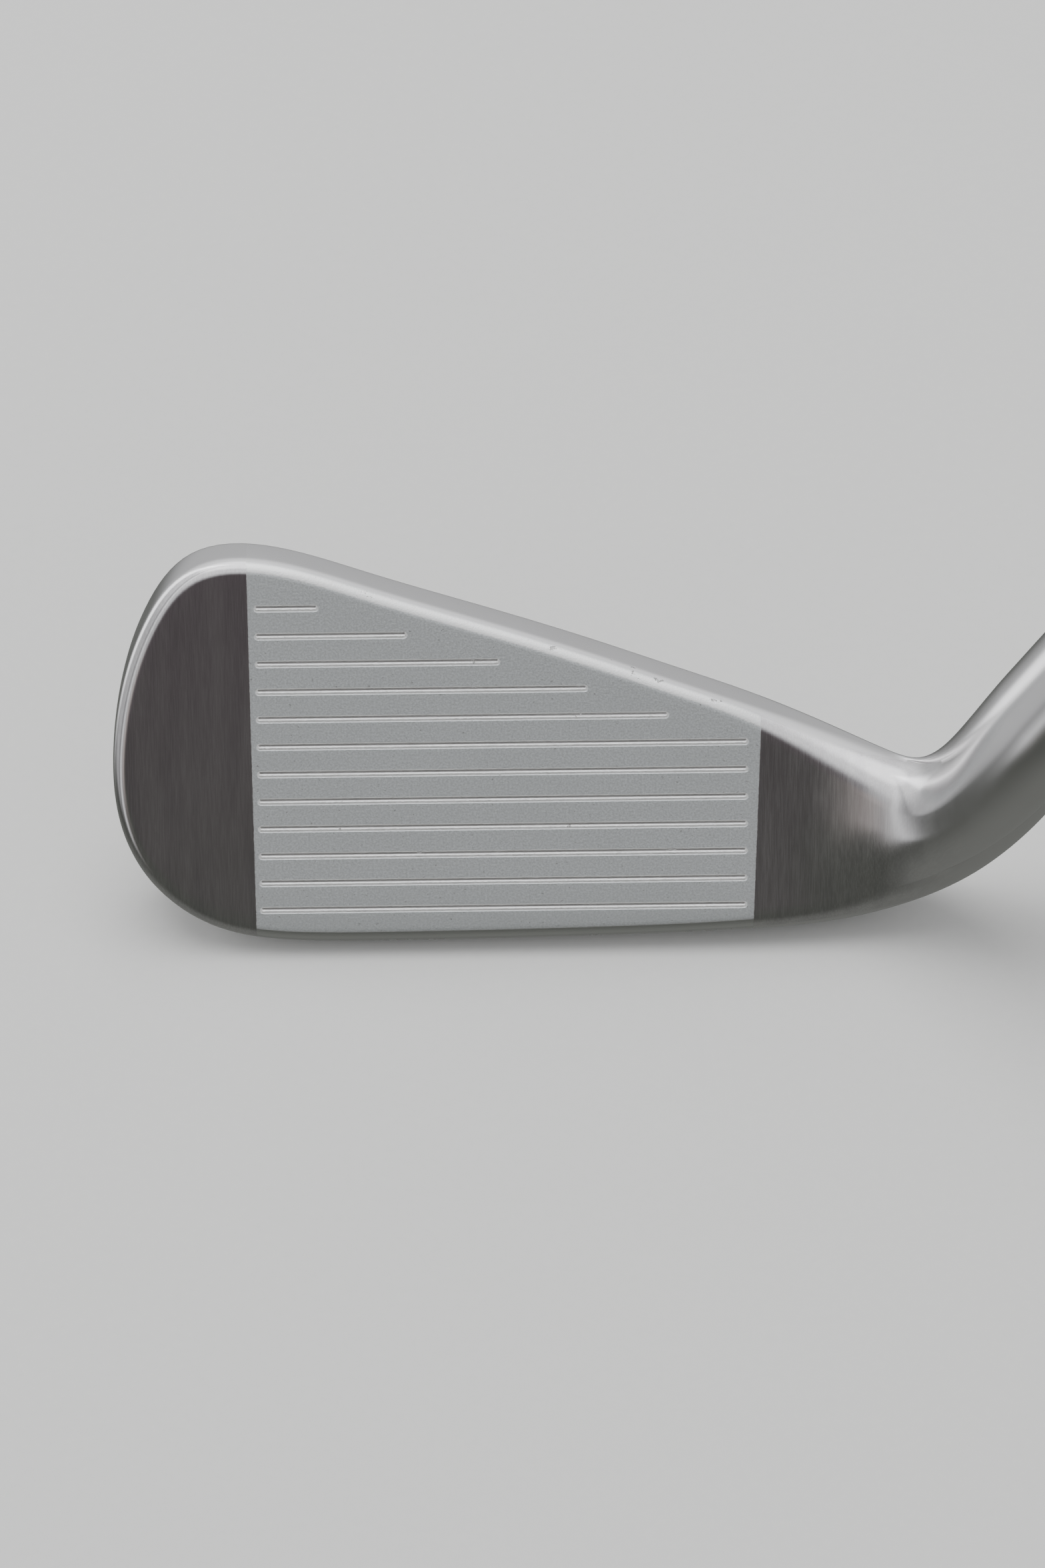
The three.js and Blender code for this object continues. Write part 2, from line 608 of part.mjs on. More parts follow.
function ferrule() {
  const profile = [[FERRULE_BORE, FERRULE_START], [ferruleRadius(0), FERRULE_START]];
  for (const place of RING_PLACES) {
    const floor = ferruleRadius(place) - RING_DEPTH - CONTACT_GAP;
    const [from, to] = [place - CONTACT_GAP, place + RING_WIDTH + CONTACT_GAP];
    profile.push([ferruleRadius(from), FERRULE_START + from], [floor, FERRULE_START + from]);
    profile.push([floor, FERRULE_START + to], [ferruleRadius(to), FERRULE_START + to]);
  }
  for (const place of [9, 12, 15, 18, 21, FERRULE_LENGTH - 0.4]) {
    profile.push([ferruleRadius(place), FERRULE_START + place]);
  }
  profile.push([FERRULE_TOP_RADIUS - 0.35, FERRULE_START + FERRULE_LENGTH]);
  profile.push([FERRULE_BORE, FERRULE_START + FERRULE_LENGTH]);
  const parts = [piece('ferrule', onShaft(turned(profile)), FERRULE_BLACK)];
  RING_PLACES.forEach((place, k) => {
    const start = FERRULE_START + place;
    const inner = ferruleRadius(place) - RING_DEPTH;
    const ring = turned([
      [inner, start],
      [ferruleRadius(place), start],
      [ferruleRadius(place + RING_WIDTH), start + RING_WIDTH],
      [inner, start + RING_WIDTH],
    ]);
    parts.push(piece(['ferrule_ring_lower', 'ferrule_ring_upper'][k], onShaft(ring), TRIM_METAL));
  });
  return parts;
}

// Printed film wrapped round the last short section below the butt, clear of the steps.
function shaftBand() {
  const step = STEP_COUNT - 1;
  const start = SHAFT_TIP + FIRST_STEP + (step - 1) * STEP_PITCH + STEP_CONE + 3;
  const inner = shaftRadius(step) + GLUE_GAP;
  const film = turned([
    [inner, start],
    [inner + GLUE_THICKNESS, start],
    [inner + GLUE_THICKNESS, start + 28],
    [inner, start + 28],
  ]);
  return piece('shaft_band', onShaft(film), BAND_FILM);
}

function gripParts() {
  const tape = turned([
    [TAPE_INNER, GRIP_START + 4],
    [TAPE_OUTER, GRIP_START + 4],
    [TAPE_OUTER, SHAFT_END - 2],
    [TAPE_INNER, SHAFT_END - 2],
  ]);
  const sleeve = [
    [GRIP_BORE, GRIP_START],
    [GRIP_MOUTH_RADIUS - 0.5, GRIP_START],
    [GRIP_MOUTH_RADIUS, GRIP_START + 1],
  ];
  for (const place of [6, 11, 16]) {
    sleeve.push([GRIP_MOUTH_RADIUS + 0.1, GRIP_START + place]);
    sleeve.push([GRIP_MOUTH_RADIUS - 0.4, GRIP_START + place + 0.7]);
    sleeve.push([GRIP_MOUTH_RADIUS + 0.1, GRIP_START + place + 1.4]);
  }
  for (const t of [0.12, 0.3, 0.5, 0.7, 0.85, 0.95]) {
    const radius = THREE.MathUtils.lerp(GRIP_MOUTH_RADIUS, GRIP_BUTT_RADIUS, t ** 1.3);
    sleeve.push([radius, GRIP_START + t * GRIP_LENGTH]);
  }
  sleeve.push([GRIP_BUTT_RADIUS, GRIP_END], [GRIP_BORE, GRIP_END]);
  const capStart = GRIP_END + CONTACT_GAP;
  const cap = turned([
    [VENT_RADIUS, capStart],
    [GRIP_BUTT_RADIUS, capStart],
    [GRIP_BUTT_RADIUS, CLUB_LENGTH - 1.8],
    [GRIP_BUTT_RADIUS - 0.6, CLUB_LENGTH - 0.5],
    [GRIP_BUTT_RADIUS - 1.8, CLUB_LENGTH],
    [VENT_RADIUS, CLUB_LENGTH],
  ]);
  return [
    piece('grip_tape', onShaft(tape), TAPE_PAPER),
    piece('grip', onShaft(turned(sleeve)), GRIP_RUBBER),
    piece('grip_cap', onShaft(cap), GRIP_RUBBER),
  ];
}

const group = new THREE.Group();
group.add(clubHead());
group.add(muscleWeight('toe_weight', -1), muscleWeight('heel_weight', 1));
group.add(...cavityStack());
group.add(shaft());
group.add(...hoselParts());
group.add(...ferrule());
group.add(shaftBand());
group.add(...gripParts());

export default group;
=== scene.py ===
"""Iron golf club standing at address on a pale floor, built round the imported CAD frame.

Lengths below are millimetres on the club's own frame (ground at Z = 0, toe towards -X, face
towards -Y) and become metres where a mesh is made.
"""

import math

import bmesh
import bpy
import numpy as np
from mathutils import Matrix, Vector


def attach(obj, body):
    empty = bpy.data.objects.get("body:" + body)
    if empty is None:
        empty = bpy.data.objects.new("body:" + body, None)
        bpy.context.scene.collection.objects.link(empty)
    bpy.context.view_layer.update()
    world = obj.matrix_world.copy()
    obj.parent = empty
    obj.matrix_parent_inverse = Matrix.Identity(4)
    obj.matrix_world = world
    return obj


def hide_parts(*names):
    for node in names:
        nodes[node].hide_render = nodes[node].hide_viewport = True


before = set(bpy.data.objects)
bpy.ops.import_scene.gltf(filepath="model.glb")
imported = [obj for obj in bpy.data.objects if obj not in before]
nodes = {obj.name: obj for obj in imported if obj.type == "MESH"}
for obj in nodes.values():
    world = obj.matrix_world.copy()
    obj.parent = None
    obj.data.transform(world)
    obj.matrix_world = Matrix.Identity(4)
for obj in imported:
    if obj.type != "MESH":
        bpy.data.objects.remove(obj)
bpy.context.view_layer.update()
MM = 0.001

# ---- sizes shared with the CAD model ------------------------------------------------------------
LOFT = math.radians(24)
LIE = math.radians(60.5)
FACE_SETBACK = 8.2
FACE_LIFT = 5.8686
SHAFT_GROUND = np.array([41.5, -5.3, 0.0])
CLUB_LENGTH = 978.0
SCORE_PITCH = 3.4
SCORE_LENGTH = 55.5
SCORE_TO_TOPLINE = 4.0
SCORE_HALF_WIDTH = 0.375
FACE_THICKNESS = 3.2
LEDGE_HEIGHT = 10.5
CORNER_RADIUS = 3.2
HOSEL_RADIUS = 6.6
HOSEL_START = 40.0
HOSEL_END = 66.0
HOSEL_MOUTH_ROUND = 0.45
BORE_RADIUS = 5.16
BORE_BOTTOM = 37.0
BORE_CHAMFER = 0.72
TIP_RADIUS = 4.51
BUTT_RADIUS = 7.62
FIRST_STEP_RADIUS = 4.9
TIP_WALL = 1.0
TIP_WALL_LENGTH = 40.0
SHAFT_WALL = 0.36
SHAFT_TIP = 38.0
SHAFT_END = 973.7
FIRST_STEP = 240.0
STEP_PITCH = 38.1
STEP_COUNT = 12
STEP_CONE = 3.0
BAND_STEP = STEP_COUNT - 1
BAND_START = SHAFT_TIP + FIRST_STEP + (BAND_STEP - 1) * STEP_PITCH + STEP_CONE + 3.0
BAND_LENGTH = 28.0
FERRULE_START = 66.3
FERRULE_LENGTH = 24.0
FERRULE_COLLAR = 4.0
FERRULE_BORE = 4.57
FERRULE_TOP_RADIUS = 5.51
GRIP_BORE = 8.27
GRIP_MOUTH_RADIUS = 9.4
GRIP_BUTT_RADIUS = 13.2
GRIP_START = 710.0
GRIP_END = 974.0
VENT_RADIUS = 1.5
CAP_ROUND = 1.8
CAP_FIELD_DEPTH = 0.35
SEAM = 0.05
WEIGHT_RADIUS = 3.9
WEIGHT_HOLE_RADIUS = 4.2
WEIGHT_HOLE_DEPTH = 7.6
WEIGHT_SPAN = 24.0
WEIGHT_SETBACK = 8.4

ACROSS = np.array([1.0, 0.0, 0.0])
UPWARD = np.array([0.0, math.sin(LOFT), math.cos(LOFT)])
BEHIND = np.array([0.0, math.cos(LOFT), -math.sin(LOFT)])
FACE_ORIGIN = np.array([0.0, -FACE_SETBACK, FACE_LIFT])
SHAFT_AXIS = np.array([math.cos(LIE), 0.0, math.sin(LIE)])
TOWARDS_TOE = np.array([-math.sin(LIE), 0.0, math.cos(LIE)])
TOWARDS_FRONT = np.array([0.0, -1.0, 0.0])


def on_face(points):
    """Places given along the score lines, up the face and behind it, as club-frame millimetres."""
    points = np.asarray(points, float)
    u, v, w = points[..., :1], points[..., 1:2], points[..., 2:3]
    return FACE_ORIGIN + u * ACROSS + v * UPWARD + w * BEHIND


def on_shaft(radius, angle, height):
    """Places round the shaft axis, the angle counted from the front towards the toe side."""
    radius, angle, height = np.broadcast_arrays(radius, angle, height)
    return (
        SHAFT_GROUND
        + height[..., None] * SHAFT_AXIS
        + (radius * np.cos(angle))[..., None] * TOWARDS_FRONT
        + (radius * np.sin(angle))[..., None] * TOWARDS_TOE
    )


# ---- mesh helpers -------------------------------------------------------------------------------
def mesh_object(name, points, faces, weld=1e-7, smooth_angle=35):
    """Welded object from millimetre points, smooth but for edges sharper than smooth_angle."""
    mesh = bpy.data.meshes.new(name)
    mesh.from_pydata((np.asarray(points) * MM).tolist(), [], faces)
    work = bmesh.new()
    work.from_mesh(mesh)
    bmesh.ops.remove_doubles(work, verts=work.verts, dist=weld)
    bmesh.ops.recalc_face_normals(work, faces=work.faces)
    work.to_mesh(mesh)
    work.free()
    piece = bpy.data.objects.new(name, mesh)
    bpy.context.scene.collection.objects.link(piece)
    soften(piece, smooth_angle)
    return piece


def soften(piece, angle):
    mesh = piece.data
    mesh.polygons.foreach_set("use_smooth", [True] * len(mesh.polygons))
    mesh.set_sharp_from_angle(angle=math.radians(angle))


def ring_faces(rings, size, closed=False, caps=True):
    """Quads between neighbouring rings of equal size, with n-gons over the two open ends."""
    faces = []
    count = rings if closed else rings - 1
    for i in range(count):
        a = i * size
        b = ((i + 1) % rings) * size
        for k in range(size):
            n = (k + 1) % size
            faces.append((a + k, a + n, b + n, b + k))
    if caps and not closed:
        faces.append(tuple(range(size)))
        last = (rings - 1) * size
        faces.append(tuple(range(last + size - 1, last - 1, -1)))
    return faces


def lofted(name, rings, smooth_angle=35):
    """Closed solid through open-ended rings of equal size."""
    rings = np.asarray(rings)
    faces = ring_faces(len(rings), rings.shape[1])
    return mesh_object(name, rings.reshape(-1, 3), faces, smooth_angle=smooth_angle)


def turned(name, profile, segments=128, smooth_angle=35):
    """Ring of revolution about the shaft axis from a closed profile of (radius, height)."""
    profile = np.asarray(profile, float)
    angles = np.linspace(0, 2 * math.pi, segments, endpoint=False)
    points = on_shaft(profile[:, :1], angles[None, :], profile[:, 1:])
    faces = ring_faces(len(profile), segments, closed=True)
    return mesh_object(name, points.reshape(-1, 3), faces, smooth_angle=smooth_angle)


def cut(piece, cutters):
    """Takes the cutters out of the piece and removes them from the scene."""
    for cutter in cutters:
        step = piece.modifiers.new("cut", "BOOLEAN")
        step.operation = "DIFFERENCE"
        step.solver = "MANIFOLD"
        step.object = cutter
    bake_modifiers(piece)
    for cutter in cutters:
        bpy.data.objects.remove(cutter)


def bake_modifiers(piece):
    """Replaces the piece's mesh by its evaluated mesh and drops the modifiers."""
    graph = bpy.context.evaluated_depsgraph_get()
    mesh = bpy.data.meshes.new_from_object(piece.evaluated_get(graph))
    old = piece.data
    piece.modifiers.clear()
    piece.data = mesh
    bpy.data.meshes.remove(old)


# ---- head ---------------------------------------------------------------------------------------
# Knots of the rim, from the heel end of the sole round the toe to the heel end of the topline:
# place along the score lines, place up the face, depth of the head behind the face plane, slope of
# the rim where it leaves the front round and where it enters the back round (degrees), front and
# back edge radius.
RIM_KNOTS = np.array([
    [41, -3.1, 12.6, 14, 40, 3.8, 3],
    [36.5, -3.7, 13.8, 15, 38, 3.4, 2.6],
    [30, -4, 15.4, 16, 34, 2.8, 2.2],
    [21, -4.3, 16.8, 17, 32, 2.5, 2],
    [10.5, -4.6, 17.5, 17, 32, 2.5, 2],
    [-1, -4.8, 17.6, 17, 32, 2.5, 2],
    [-13, -4.9, 17.3, 17, 32, 2.5, 2],
    [-23, -4.7, 16.2, 17, 32, 2.4, 2],
    [-31.5, -3.3, 14, 14, 30, 2.2, 2],
    [-38.2, 0.9, 11.6, 8, 24, 1.9, 2],
    [-42.5, 7.4, 9.9, 2, 16, 1.7, 1.9],
    [-44.1, 16, 8.8, -2, 9, 1.6, 1.8],
    [-43.2, 26, 7.9, -3, 6, 1.6, 1.6],
    [-40.3, 35, 7.2, -3, 4, 1.6, 1.5],
    [-34.8, 41.9, 6.8, -3, 3, 1.6, 1.4],
    [-25.5, 42.7, 6.5, -3, 3, 1.6, 1.3],
    [-14.5, 39.3, 6.4, -3, 3, 1.6, 1.3],
    [-3, 35.5, 6.4, -3, 3, 1.6, 1.3],
    [8.5, 31.6, 6.4, -3, 3, 1.6, 1.3],
    [19, 27.7, 6.4, -3, 3, 1.6, 1.3],
    [28.5, 24.1, 6.4, -3, 3, 1.9, 1.4],
    [37, 20.5, 6.4, -3, 3, 3.2, 1.6],
    [43.5, 17.9, 6.6, -2, 4, 4.6, 1.8],
])
TOE_KNOT = (len(RIM_KNOTS) - 1) // 2
HIGHEST_KNOT = 15
RIM_FACETS = (9, 10, 8)
FACE_FACETS = 26
BLADE_STATIONS = 84
TOE_CROWDING = 1.35
CROOK_STATIONS = 40
HOSEL_STATIONS = 9
HOSEL_ANGLES = (-42, 48, 128, 222, 318)
LEAVE_BLADE = (56, 18)
JOIN_HOSEL = (12, 37)
HEEL_BEND_START = 32.0
HEEL_BEND_RADIUS = 28.0
HEEL_BEND_HEIGHTS = (-3.0, 10.0)
HEEL_BLEND_STATIONS = 14
HEEL_BLEND_PASSES = 30


def natural_spline(values):
    """Natural cubic spline through rows at whole numbers: returns values and slopes at t."""
    count = len(values)
    system = np.eye(count)
    right = np.zeros_like(values)
    for i in range(1, count - 1):
        system[i, i - 1 : i + 2] = (1, 4, 1)
        right[i] = 6 * (values[i - 1] - 2 * values[i] + values[i + 1])
    bend = np.linalg.solve(system, right)

    def at(t):
        t = np.asarray(t, float)
        i = np.clip(np.floor(t).astype(int), 0, count - 2)
        x = (t - i)[..., None]
        y = 1 - x
        value = values[i] * y + values[i + 1] * x
        value = value + ((y**3 - y) * bend[i] + (x**3 - x) * bend[i + 1]) / 6
        slope = values[i + 1] - values[i]
        slope = slope + ((1 - 3 * y**2) * bend[i] + (3 * x**2 - 1) * bend[i + 1]) / 6
        return value, slope

    return at


rim_at = natural_spline(RIM_KNOTS)


def rim_section(t):
    """Section of the rim at spline place t: points from the face round to the back."""
    row, slope = rim_at(t)
    u, v, depth, front, back, front_round, back_round = row
    start, end = math.radians(front), math.radians(back)
    path = [(0.0, 0.0)]

    def arc(a, b, radius, facets):
        for i in range(facets):
            p = a + (b - a) * i / facets
            q = a + (b - a) * (i + 1) / facets
            inward, backward = path[-1]
            inward += radius * (math.cos(p) - math.cos(q))
            backward += radius * (math.sin(q) - math.sin(p))
            path.append((inward, backward))

    arc(-math.pi / 2, start, front_round, RIM_FACETS[0])
    band = depth - back_round * (1 - math.sin(end)) - path[-1][1]
    arc(start, end, band / (math.sin(end) - math.sin(start)), RIM_FACETS[1])
    arc(end, math.pi / 2, back_round, RIM_FACETS[2])
    path = np.array(path)
    inward = path[:, 0] - path[:, 0].min()
    out = np.array([-slope[1], slope[0]]) / math.hypot(slope[0], slope[1])
    return np.column_stack([u - inward * out[0], v - inward * out[1], path[:, 1]])


def blade_loop(place):
    """Closed section of the blade at a place counted from the toe, the heel's foot bent forward."""
    over = rim_section(TOE_KNOT + place)
    under = rim_section(TOE_KNOT - place)
    steps = np.linspace(0, 1, FACE_FACETS + 1)[1:-1, None]
    face = under[0] + (over[0] - under[0]) * steps
    back = over[-1] + (under[-1] - over[-1]) * steps
    loop = np.vstack([under[:1], face, over, back, under[:0:-1]])
    low, high = HEEL_BEND_HEIGHTS
    t = np.clip((loop[:, 1] - low) / (high - low), 0, 1)
    share = t * t * (3 - 2 * t)
    past = np.maximum(loop[:, 0] - HEEL_BEND_START, 0)
    loop[:, 2] -= share * past**2 / (2 * HEEL_BEND_RADIUS)
    return loop


def hosel_angles():
    """Angles round the shaft axis that match the points of a blade loop."""
    rim = sum(RIM_FACETS)
    stretches = (FACE_FACETS, rim, FACE_FACETS, rim)
    angles = [
        np.linspace(HOSEL_ANGLES[k], HOSEL_ANGLES[k + 1], facets, endpoint=False)
        for k, facets in enumerate(stretches)
    ]
    return np.radians(np.concatenate(angles))


def head_loops():
    """Sections from the toe to the hosel's mouth: blade, crook, hosel and its rounded edge."""
    places = TOE_KNOT * np.linspace(0, 1, BLADE_STATIONS + 1) ** TOE_CROWDING
    blade = np.array([blade_loop(p) for p in places])
    loops = list(on_face(blade))
    angles = hosel_angles()
    start = loops[-1]
    direction = start - on_face(blade_loop(TOE_KNOT - 0.001))
    direction /= np.linalg.norm(direction, axis=1)[:, None]
    inside = ((np.sin(angles) + 1) / 2)[:, None]
    leave = direction * (LEAVE_BLADE[0] + (LEAVE_BLADE[1] - LEAVE_BLADE[0]) * inside)
    join = SHAFT_AXIS * (JOIN_HOSEL[0] + (JOIN_HOSEL[1] - JOIN_HOSEL[0]) * inside)
    end = on_shaft(HOSEL_RADIUS, angles, HOSEL_START)
    for t in np.linspace(0, 1, CROOK_STATIONS + 1)[1:]:
        loops.append(
            start * (2 * t**3 - 3 * t**2 + 1)
            + leave * (t**3 - 2 * t**2 + t)
            + end * (3 * t**2 - 2 * t**3)
            + join * (t**3 - t**2)
        )
    edge = HOSEL_MOUTH_ROUND
    for height in np.linspace(HOSEL_START, HOSEL_END - edge, HOSEL_STATIONS)[1:]:
        loops.append(on_shaft(HOSEL_RADIUS, angles, height))
    for turn in np.radians([30, 60, 90]):
        radius = HOSEL_RADIUS - edge * (1 - math.cos(turn))
        loops.append(on_shaft(radius, angles, HOSEL_END - edge * (1 - math.sin(turn))))
    loops = np.array(loops)
    away = abs(np.arange(len(loops)) - BLADE_STATIONS) / HEEL_BLEND_STATIONS
    share = np.cos(np.clip(away, 0, 1) * math.pi / 2)[1:-1, None, None] ** 2
    for _ in range(HEEL_BLEND_PASSES):
        loops[1:-1] += share * (loops[:-2] - 2 * loops[1:-1] + loops[2:]) / 4
    loops[..., 2] = np.maximum(loops[..., 2], 0)
    return loops


def rounded_outline(corners, radius, arc_points=14):
    """Polygon with round corners, anticlockwise: points and their outward directions."""
    corners = np.asarray(corners, float)
    points, outward = [], []
    count = len(corners)
    for i, corner in enumerate(corners):
        before = corners[i - 1] - corner
        after = corners[(i + 1) % count] - corner
        before, after = before / np.linalg.norm(before), after / np.linalg.norm(after)
        half = math.acos(np.clip(before @ after, -1, 1)) / 2
        bisector = (before + after) / np.linalg.norm(before + after)
        centre = corner + bisector * radius / math.sin(half)
        a = math.atan2(-before[1], -before[0]) - math.pi / 2
        b = math.atan2(after[1], after[0]) - math.pi / 2
        b = a + (b - a) % (2 * math.pi)
        for angle in np.linspace(a, b, arc_points):
            direction = np.array([math.cos(angle), math.sin(angle)])
            points.append(centre + radius * direction)
            outward.append(direction)
    return np.array(points), np.array(outward)


def fill_long_sides(points, outward, step):
    """Adds points along the straight sides so that no side of the outline is longer than step."""
    dense, direction = [], []
    for i in range(len(points)):
        j = (i + 1) % len(points)
        pieces = max(1, int(np.linalg.norm(points[j] - points[i]) / step))
        for k in range(pieces):
            dense.append(points[i] + (points[j] - points[i]) * k / pieces)
            direction.append(outward[i])
    return np.array(dense), np.array(direction)


CAVITY_CORNERS = [
    (-36, LEDGE_HEIGHT), (33, LEDGE_HEIGHT), (30.5, 17.2), (-24.5, 35.4), (-33, 34.2), (-37.3, 22),
]
# Depth from which the back is felt for, and the depth taken where nothing is met.
FAR_BEHIND = 60.0
THIN_BLADE = 8.0


def topline_reach(height):
    """Place along the score lines at which the topline comes down to a height on the face."""
    high, low = float(HIGHEST_KNOT), float(len(RIM_KNOTS) - 1)
    for _ in range(40):
        middle = (high + low) / 2
        if rim_at(middle)[0][1] > height:
            high = middle
        else:
            low = middle
    return rim_at(low)[0][0]


# Half width of a score line against depth: a rolled lip, a slanted wall and a round floor.
SCORE_PROFILE = [
    (0.56, -0.4), (0.515, -0.02), (0.465, 0.012), (0.425, 0.035), (0.395, 0.075), (0.372, 0.13),
    (0.335, 0.24), (0.28, 0.33), (0.2, 0.395), (0.1, 0.43),
]


def score_line_cutter(row):
    """Groove with half-round ends, cut short where the topline comes near."""
    height = row * SCORE_PITCH
    left = -SCORE_LENGTH / 2
    right = min(SCORE_LENGTH / 2, topline_reach(height + SCORE_TO_TOPLINE))
    turn = np.linspace(math.pi / 2, 3 * math.pi / 2, 13)
    centres = np.repeat([left + SCORE_HALF_WIDTH, right - SCORE_HALF_WIDTH], len(turn))
    angles = np.concatenate([turn, turn + math.pi])
    rings = []
    for width, depth in SCORE_PROFILE:
        u = centres + width * np.cos(angles)
        v = height + width * np.sin(angles)
        rings.append(on_face(np.column_stack([u, v, np.full(len(u), depth)])))
    return lofted("score_line", rings)


def back_depth(head, points):
    """Depth behind the face plane at which a line square to the face leaves the head's back."""
    graph = bpy.context.evaluated_depsgraph_get()
    depths = []
    for u, v in points:
        start = on_face([u, v, FAR_BEHIND]) * MM
        hit, place, _, _ = head.ray_cast(Vector(start), Vector(-BEHIND), depsgraph=graph)
        depths.append(((np.array(place) / MM - FACE_ORIGIN) @ BEHIND) if hit else THIN_BLADE)
    return np.array(depths)


def cavity_cutter(head):
    """Pocket with a rolled lip that follows the head's back and a round where it meets its floor."""
    points, outward = fill_long_sides(*rounded_outline(CAVITY_CORNERS, CORNER_RADIUS), 1.5)
    lip, foot = 0.9, 1.1
    rings = []

    def ring(offset, depth):
        place = points + outward * offset
        rings.append(on_face(np.column_stack([place, np.broadcast_to(depth, len(place))])))

    outer = back_depth(head, points + outward * lip)
    ring(lip + 0.06, outer + 4.0)
    ring(lip + 0.03, outer + 0.05)
    for turn in np.radians(np.linspace(12, 90, 7)):
        offset = lip * (1 - math.sin(turn))
        ring(offset, back_depth(head, points + outward * offset) - lip * (1 - math.cos(turn)))
    ring(0, FACE_THICKNESS + foot)
    for turn in np.radians(np.linspace(15, 90, 6)):
        ring(-foot * (1 - math.cos(turn)), FACE_THICKNESS + foot * (1 - math.sin(turn)))
    return lofted("cavity", rings)


def muscle_rings(side, profile, count=48):
    """Rings about the upright axis of a muscle weight from (radius, height up the face)."""
    angles = np.linspace(0, 2 * math.pi, count, endpoint=False)
    rings = []
    for radius, height in profile:
        u = side * WEIGHT_SPAN + radius * np.cos(angles)
        w = WEIGHT_SETBACK + radius * np.sin(angles)
        rings.append(on_face(np.column_stack([u, np.full(count, height), w])))
    return rings


def club_head():
    """The head's sweep with its cavity, weight holes, bore and score lines cut out."""
    loops = head_loops()
    size = loops.shape[1]
    faces = ring_faces(len(loops), size, caps=False)
    last = (len(loops) - 1) * size
    faces.append(tuple(range(last, last + size)))
    head = mesh_object("head", loops.reshape(-1, 3), faces, weld=2e-6)
    cutters = [cavity_cutter(head)]
    for side in (-1, 1):
        hole = [
            (WEIGHT_HOLE_RADIUS, LEDGE_HEIGHT - WEIGHT_HOLE_DEPTH),
            (WEIGHT_HOLE_RADIUS, LEDGE_HEIGHT - 0.25),
            (WEIGHT_HOLE_RADIUS + 0.3, LEDGE_HEIGHT + 0.05),
            (WEIGHT_HOLE_RADIUS + 0.3, LEDGE_HEIGHT + 2),
        ]
        cutters.append(lofted("weight_hole", muscle_rings(side, hole)))
    angles = np.linspace(0, 2 * math.pi, 96, endpoint=False)
    bore = [
        (BORE_RADIUS, BORE_BOTTOM), (BORE_RADIUS, HOSEL_END - BORE_CHAMFER),
        (BORE_RADIUS + 2 * BORE_CHAMFER, HOSEL_END + BORE_CHAMFER),
    ]
    cutters.append(lofted("bore", [on_shaft(r, angles, h) for r, h in bore]))
    row = 0
    while row * SCORE_PITCH < rim_at(HIGHEST_KNOT)[0][1] - SCORE_TO_TOPLINE:
        cutters.append(score_line_cutter(row))
        row += 1
    cut(head, cutters)
    soften(head, 32)
    weigh = head.modifiers.new("weigh", "WEIGHTED_NORMAL")
    weigh.keep_sharp = True
    weigh.weight = 90
    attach(head, "root")
    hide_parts("club_head")
    return head


# ---- muscle weights, damper and badge ------------------------------------------------------------
def dress(piece, node, material):
    """Puts a new piece in the place of a CAD node."""
    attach(piece, "root")
    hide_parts(node)
    wear(piece, material)
    return piece


def wear(piece, material):
    piece.data.materials.clear()
    piece.data.materials.append(material)


def muscle_weight(node, side, material):
    """Plug with a rounded rim and a shallow dish in its visible end."""
    top = LEDGE_HEIGHT - 0.3
    profile = [
        (WEIGHT_RADIUS, top - 7), (WEIGHT_RADIUS, top - 0.35),
        (WEIGHT_RADIUS - 0.1, top - 0.1), (WEIGHT_RADIUS - 0.35, top),
        (2.3, top), (2.1, top - 0.1), (1.9, top - 0.5), (0.4, top - 0.55),
    ]
    return dress(lofted(node, muscle_rings(side, profile)), node, material)


def plate(node, material, inset, profile):
    """Plate on the cavity floor from (extra inset, depth behind the face plane) rings."""
    points, outward = rounded_outline(CAVITY_CORNERS, CORNER_RADIUS)
    points, outward = fill_long_sides(points - outward * inset, outward, 2.0)
    rings = []
    for extra, depth in profile:
        place = points - outward * extra
        rings.append(on_face(np.column_stack([place, np.full(len(place), depth)])))
    return dress(lofted(node, rings, smooth_angle=40), node, material)


# Front and back of the two plates, as depths behind the face plane.
DAMPER = (3.5, 4.7)
BADGE = (5.7, 6.7)


def cavity_damper(material):
    front, back = DAMPER
    profile = [
        (0.15, front), (0, front + 0.15), (0, back - 0.25), (0.08, back - 0.08), (0.25, back),
    ]
    return plate("cavity_damper", material, 0.8, profile)


def cavity_badge(material):
    """Thin plate with a rolled edge round a sunken field; badge_rib adds the two long raised ribs
    across it.
    """
    front, back = BADGE
    profile = [
        (0.1, front), (0, front + 0.1), (0, back - 0.25), (0.07, back - 0.07), (0.25, back),
        (1.1, back), (1.2, back - 0.04), (1.28, back - 0.16), (1.4, back - 0.2),
    ]
    return plate("cavity_badge", material, 1.8, profile)


def badge_rib(name, ends, height, material):
    """Rounded rib on the badge's field between two places, its top just under the badge's edge."""
    (u0, v0), (u1, v1) = ends
    length = math.hypot(u1 - u0, v1 - v0)
    along = np.array([u1 - u0, v1 - v0]) / length
    side = np.array([-along[1], along[0]])
    turn = np.linspace(math.pi / 2, 3 * math.pi / 2, 9)
    centre = np.repeat([0, length], len(turn))
    angles = np.concatenate([turn, turn + math.pi])
    rings = []
    base = BADGE[1] - 0.22
    for width, rise in [(0.5, 0), (0.5, 0.6 * height), (0.42, 0.88 * height), (0.25, height)]:
        a = centre + width * np.cos(angles)
        b = width * np.sin(angles)
        place = np.array([u0, v0]) + a[:, None] * along + b[:, None] * side
        rings.append(on_face(np.column_stack([place, np.full(len(place), base + rise)])))
    rib = lofted(name, rings)
    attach(rib, "root")
    wear(rib, material)
    return rib


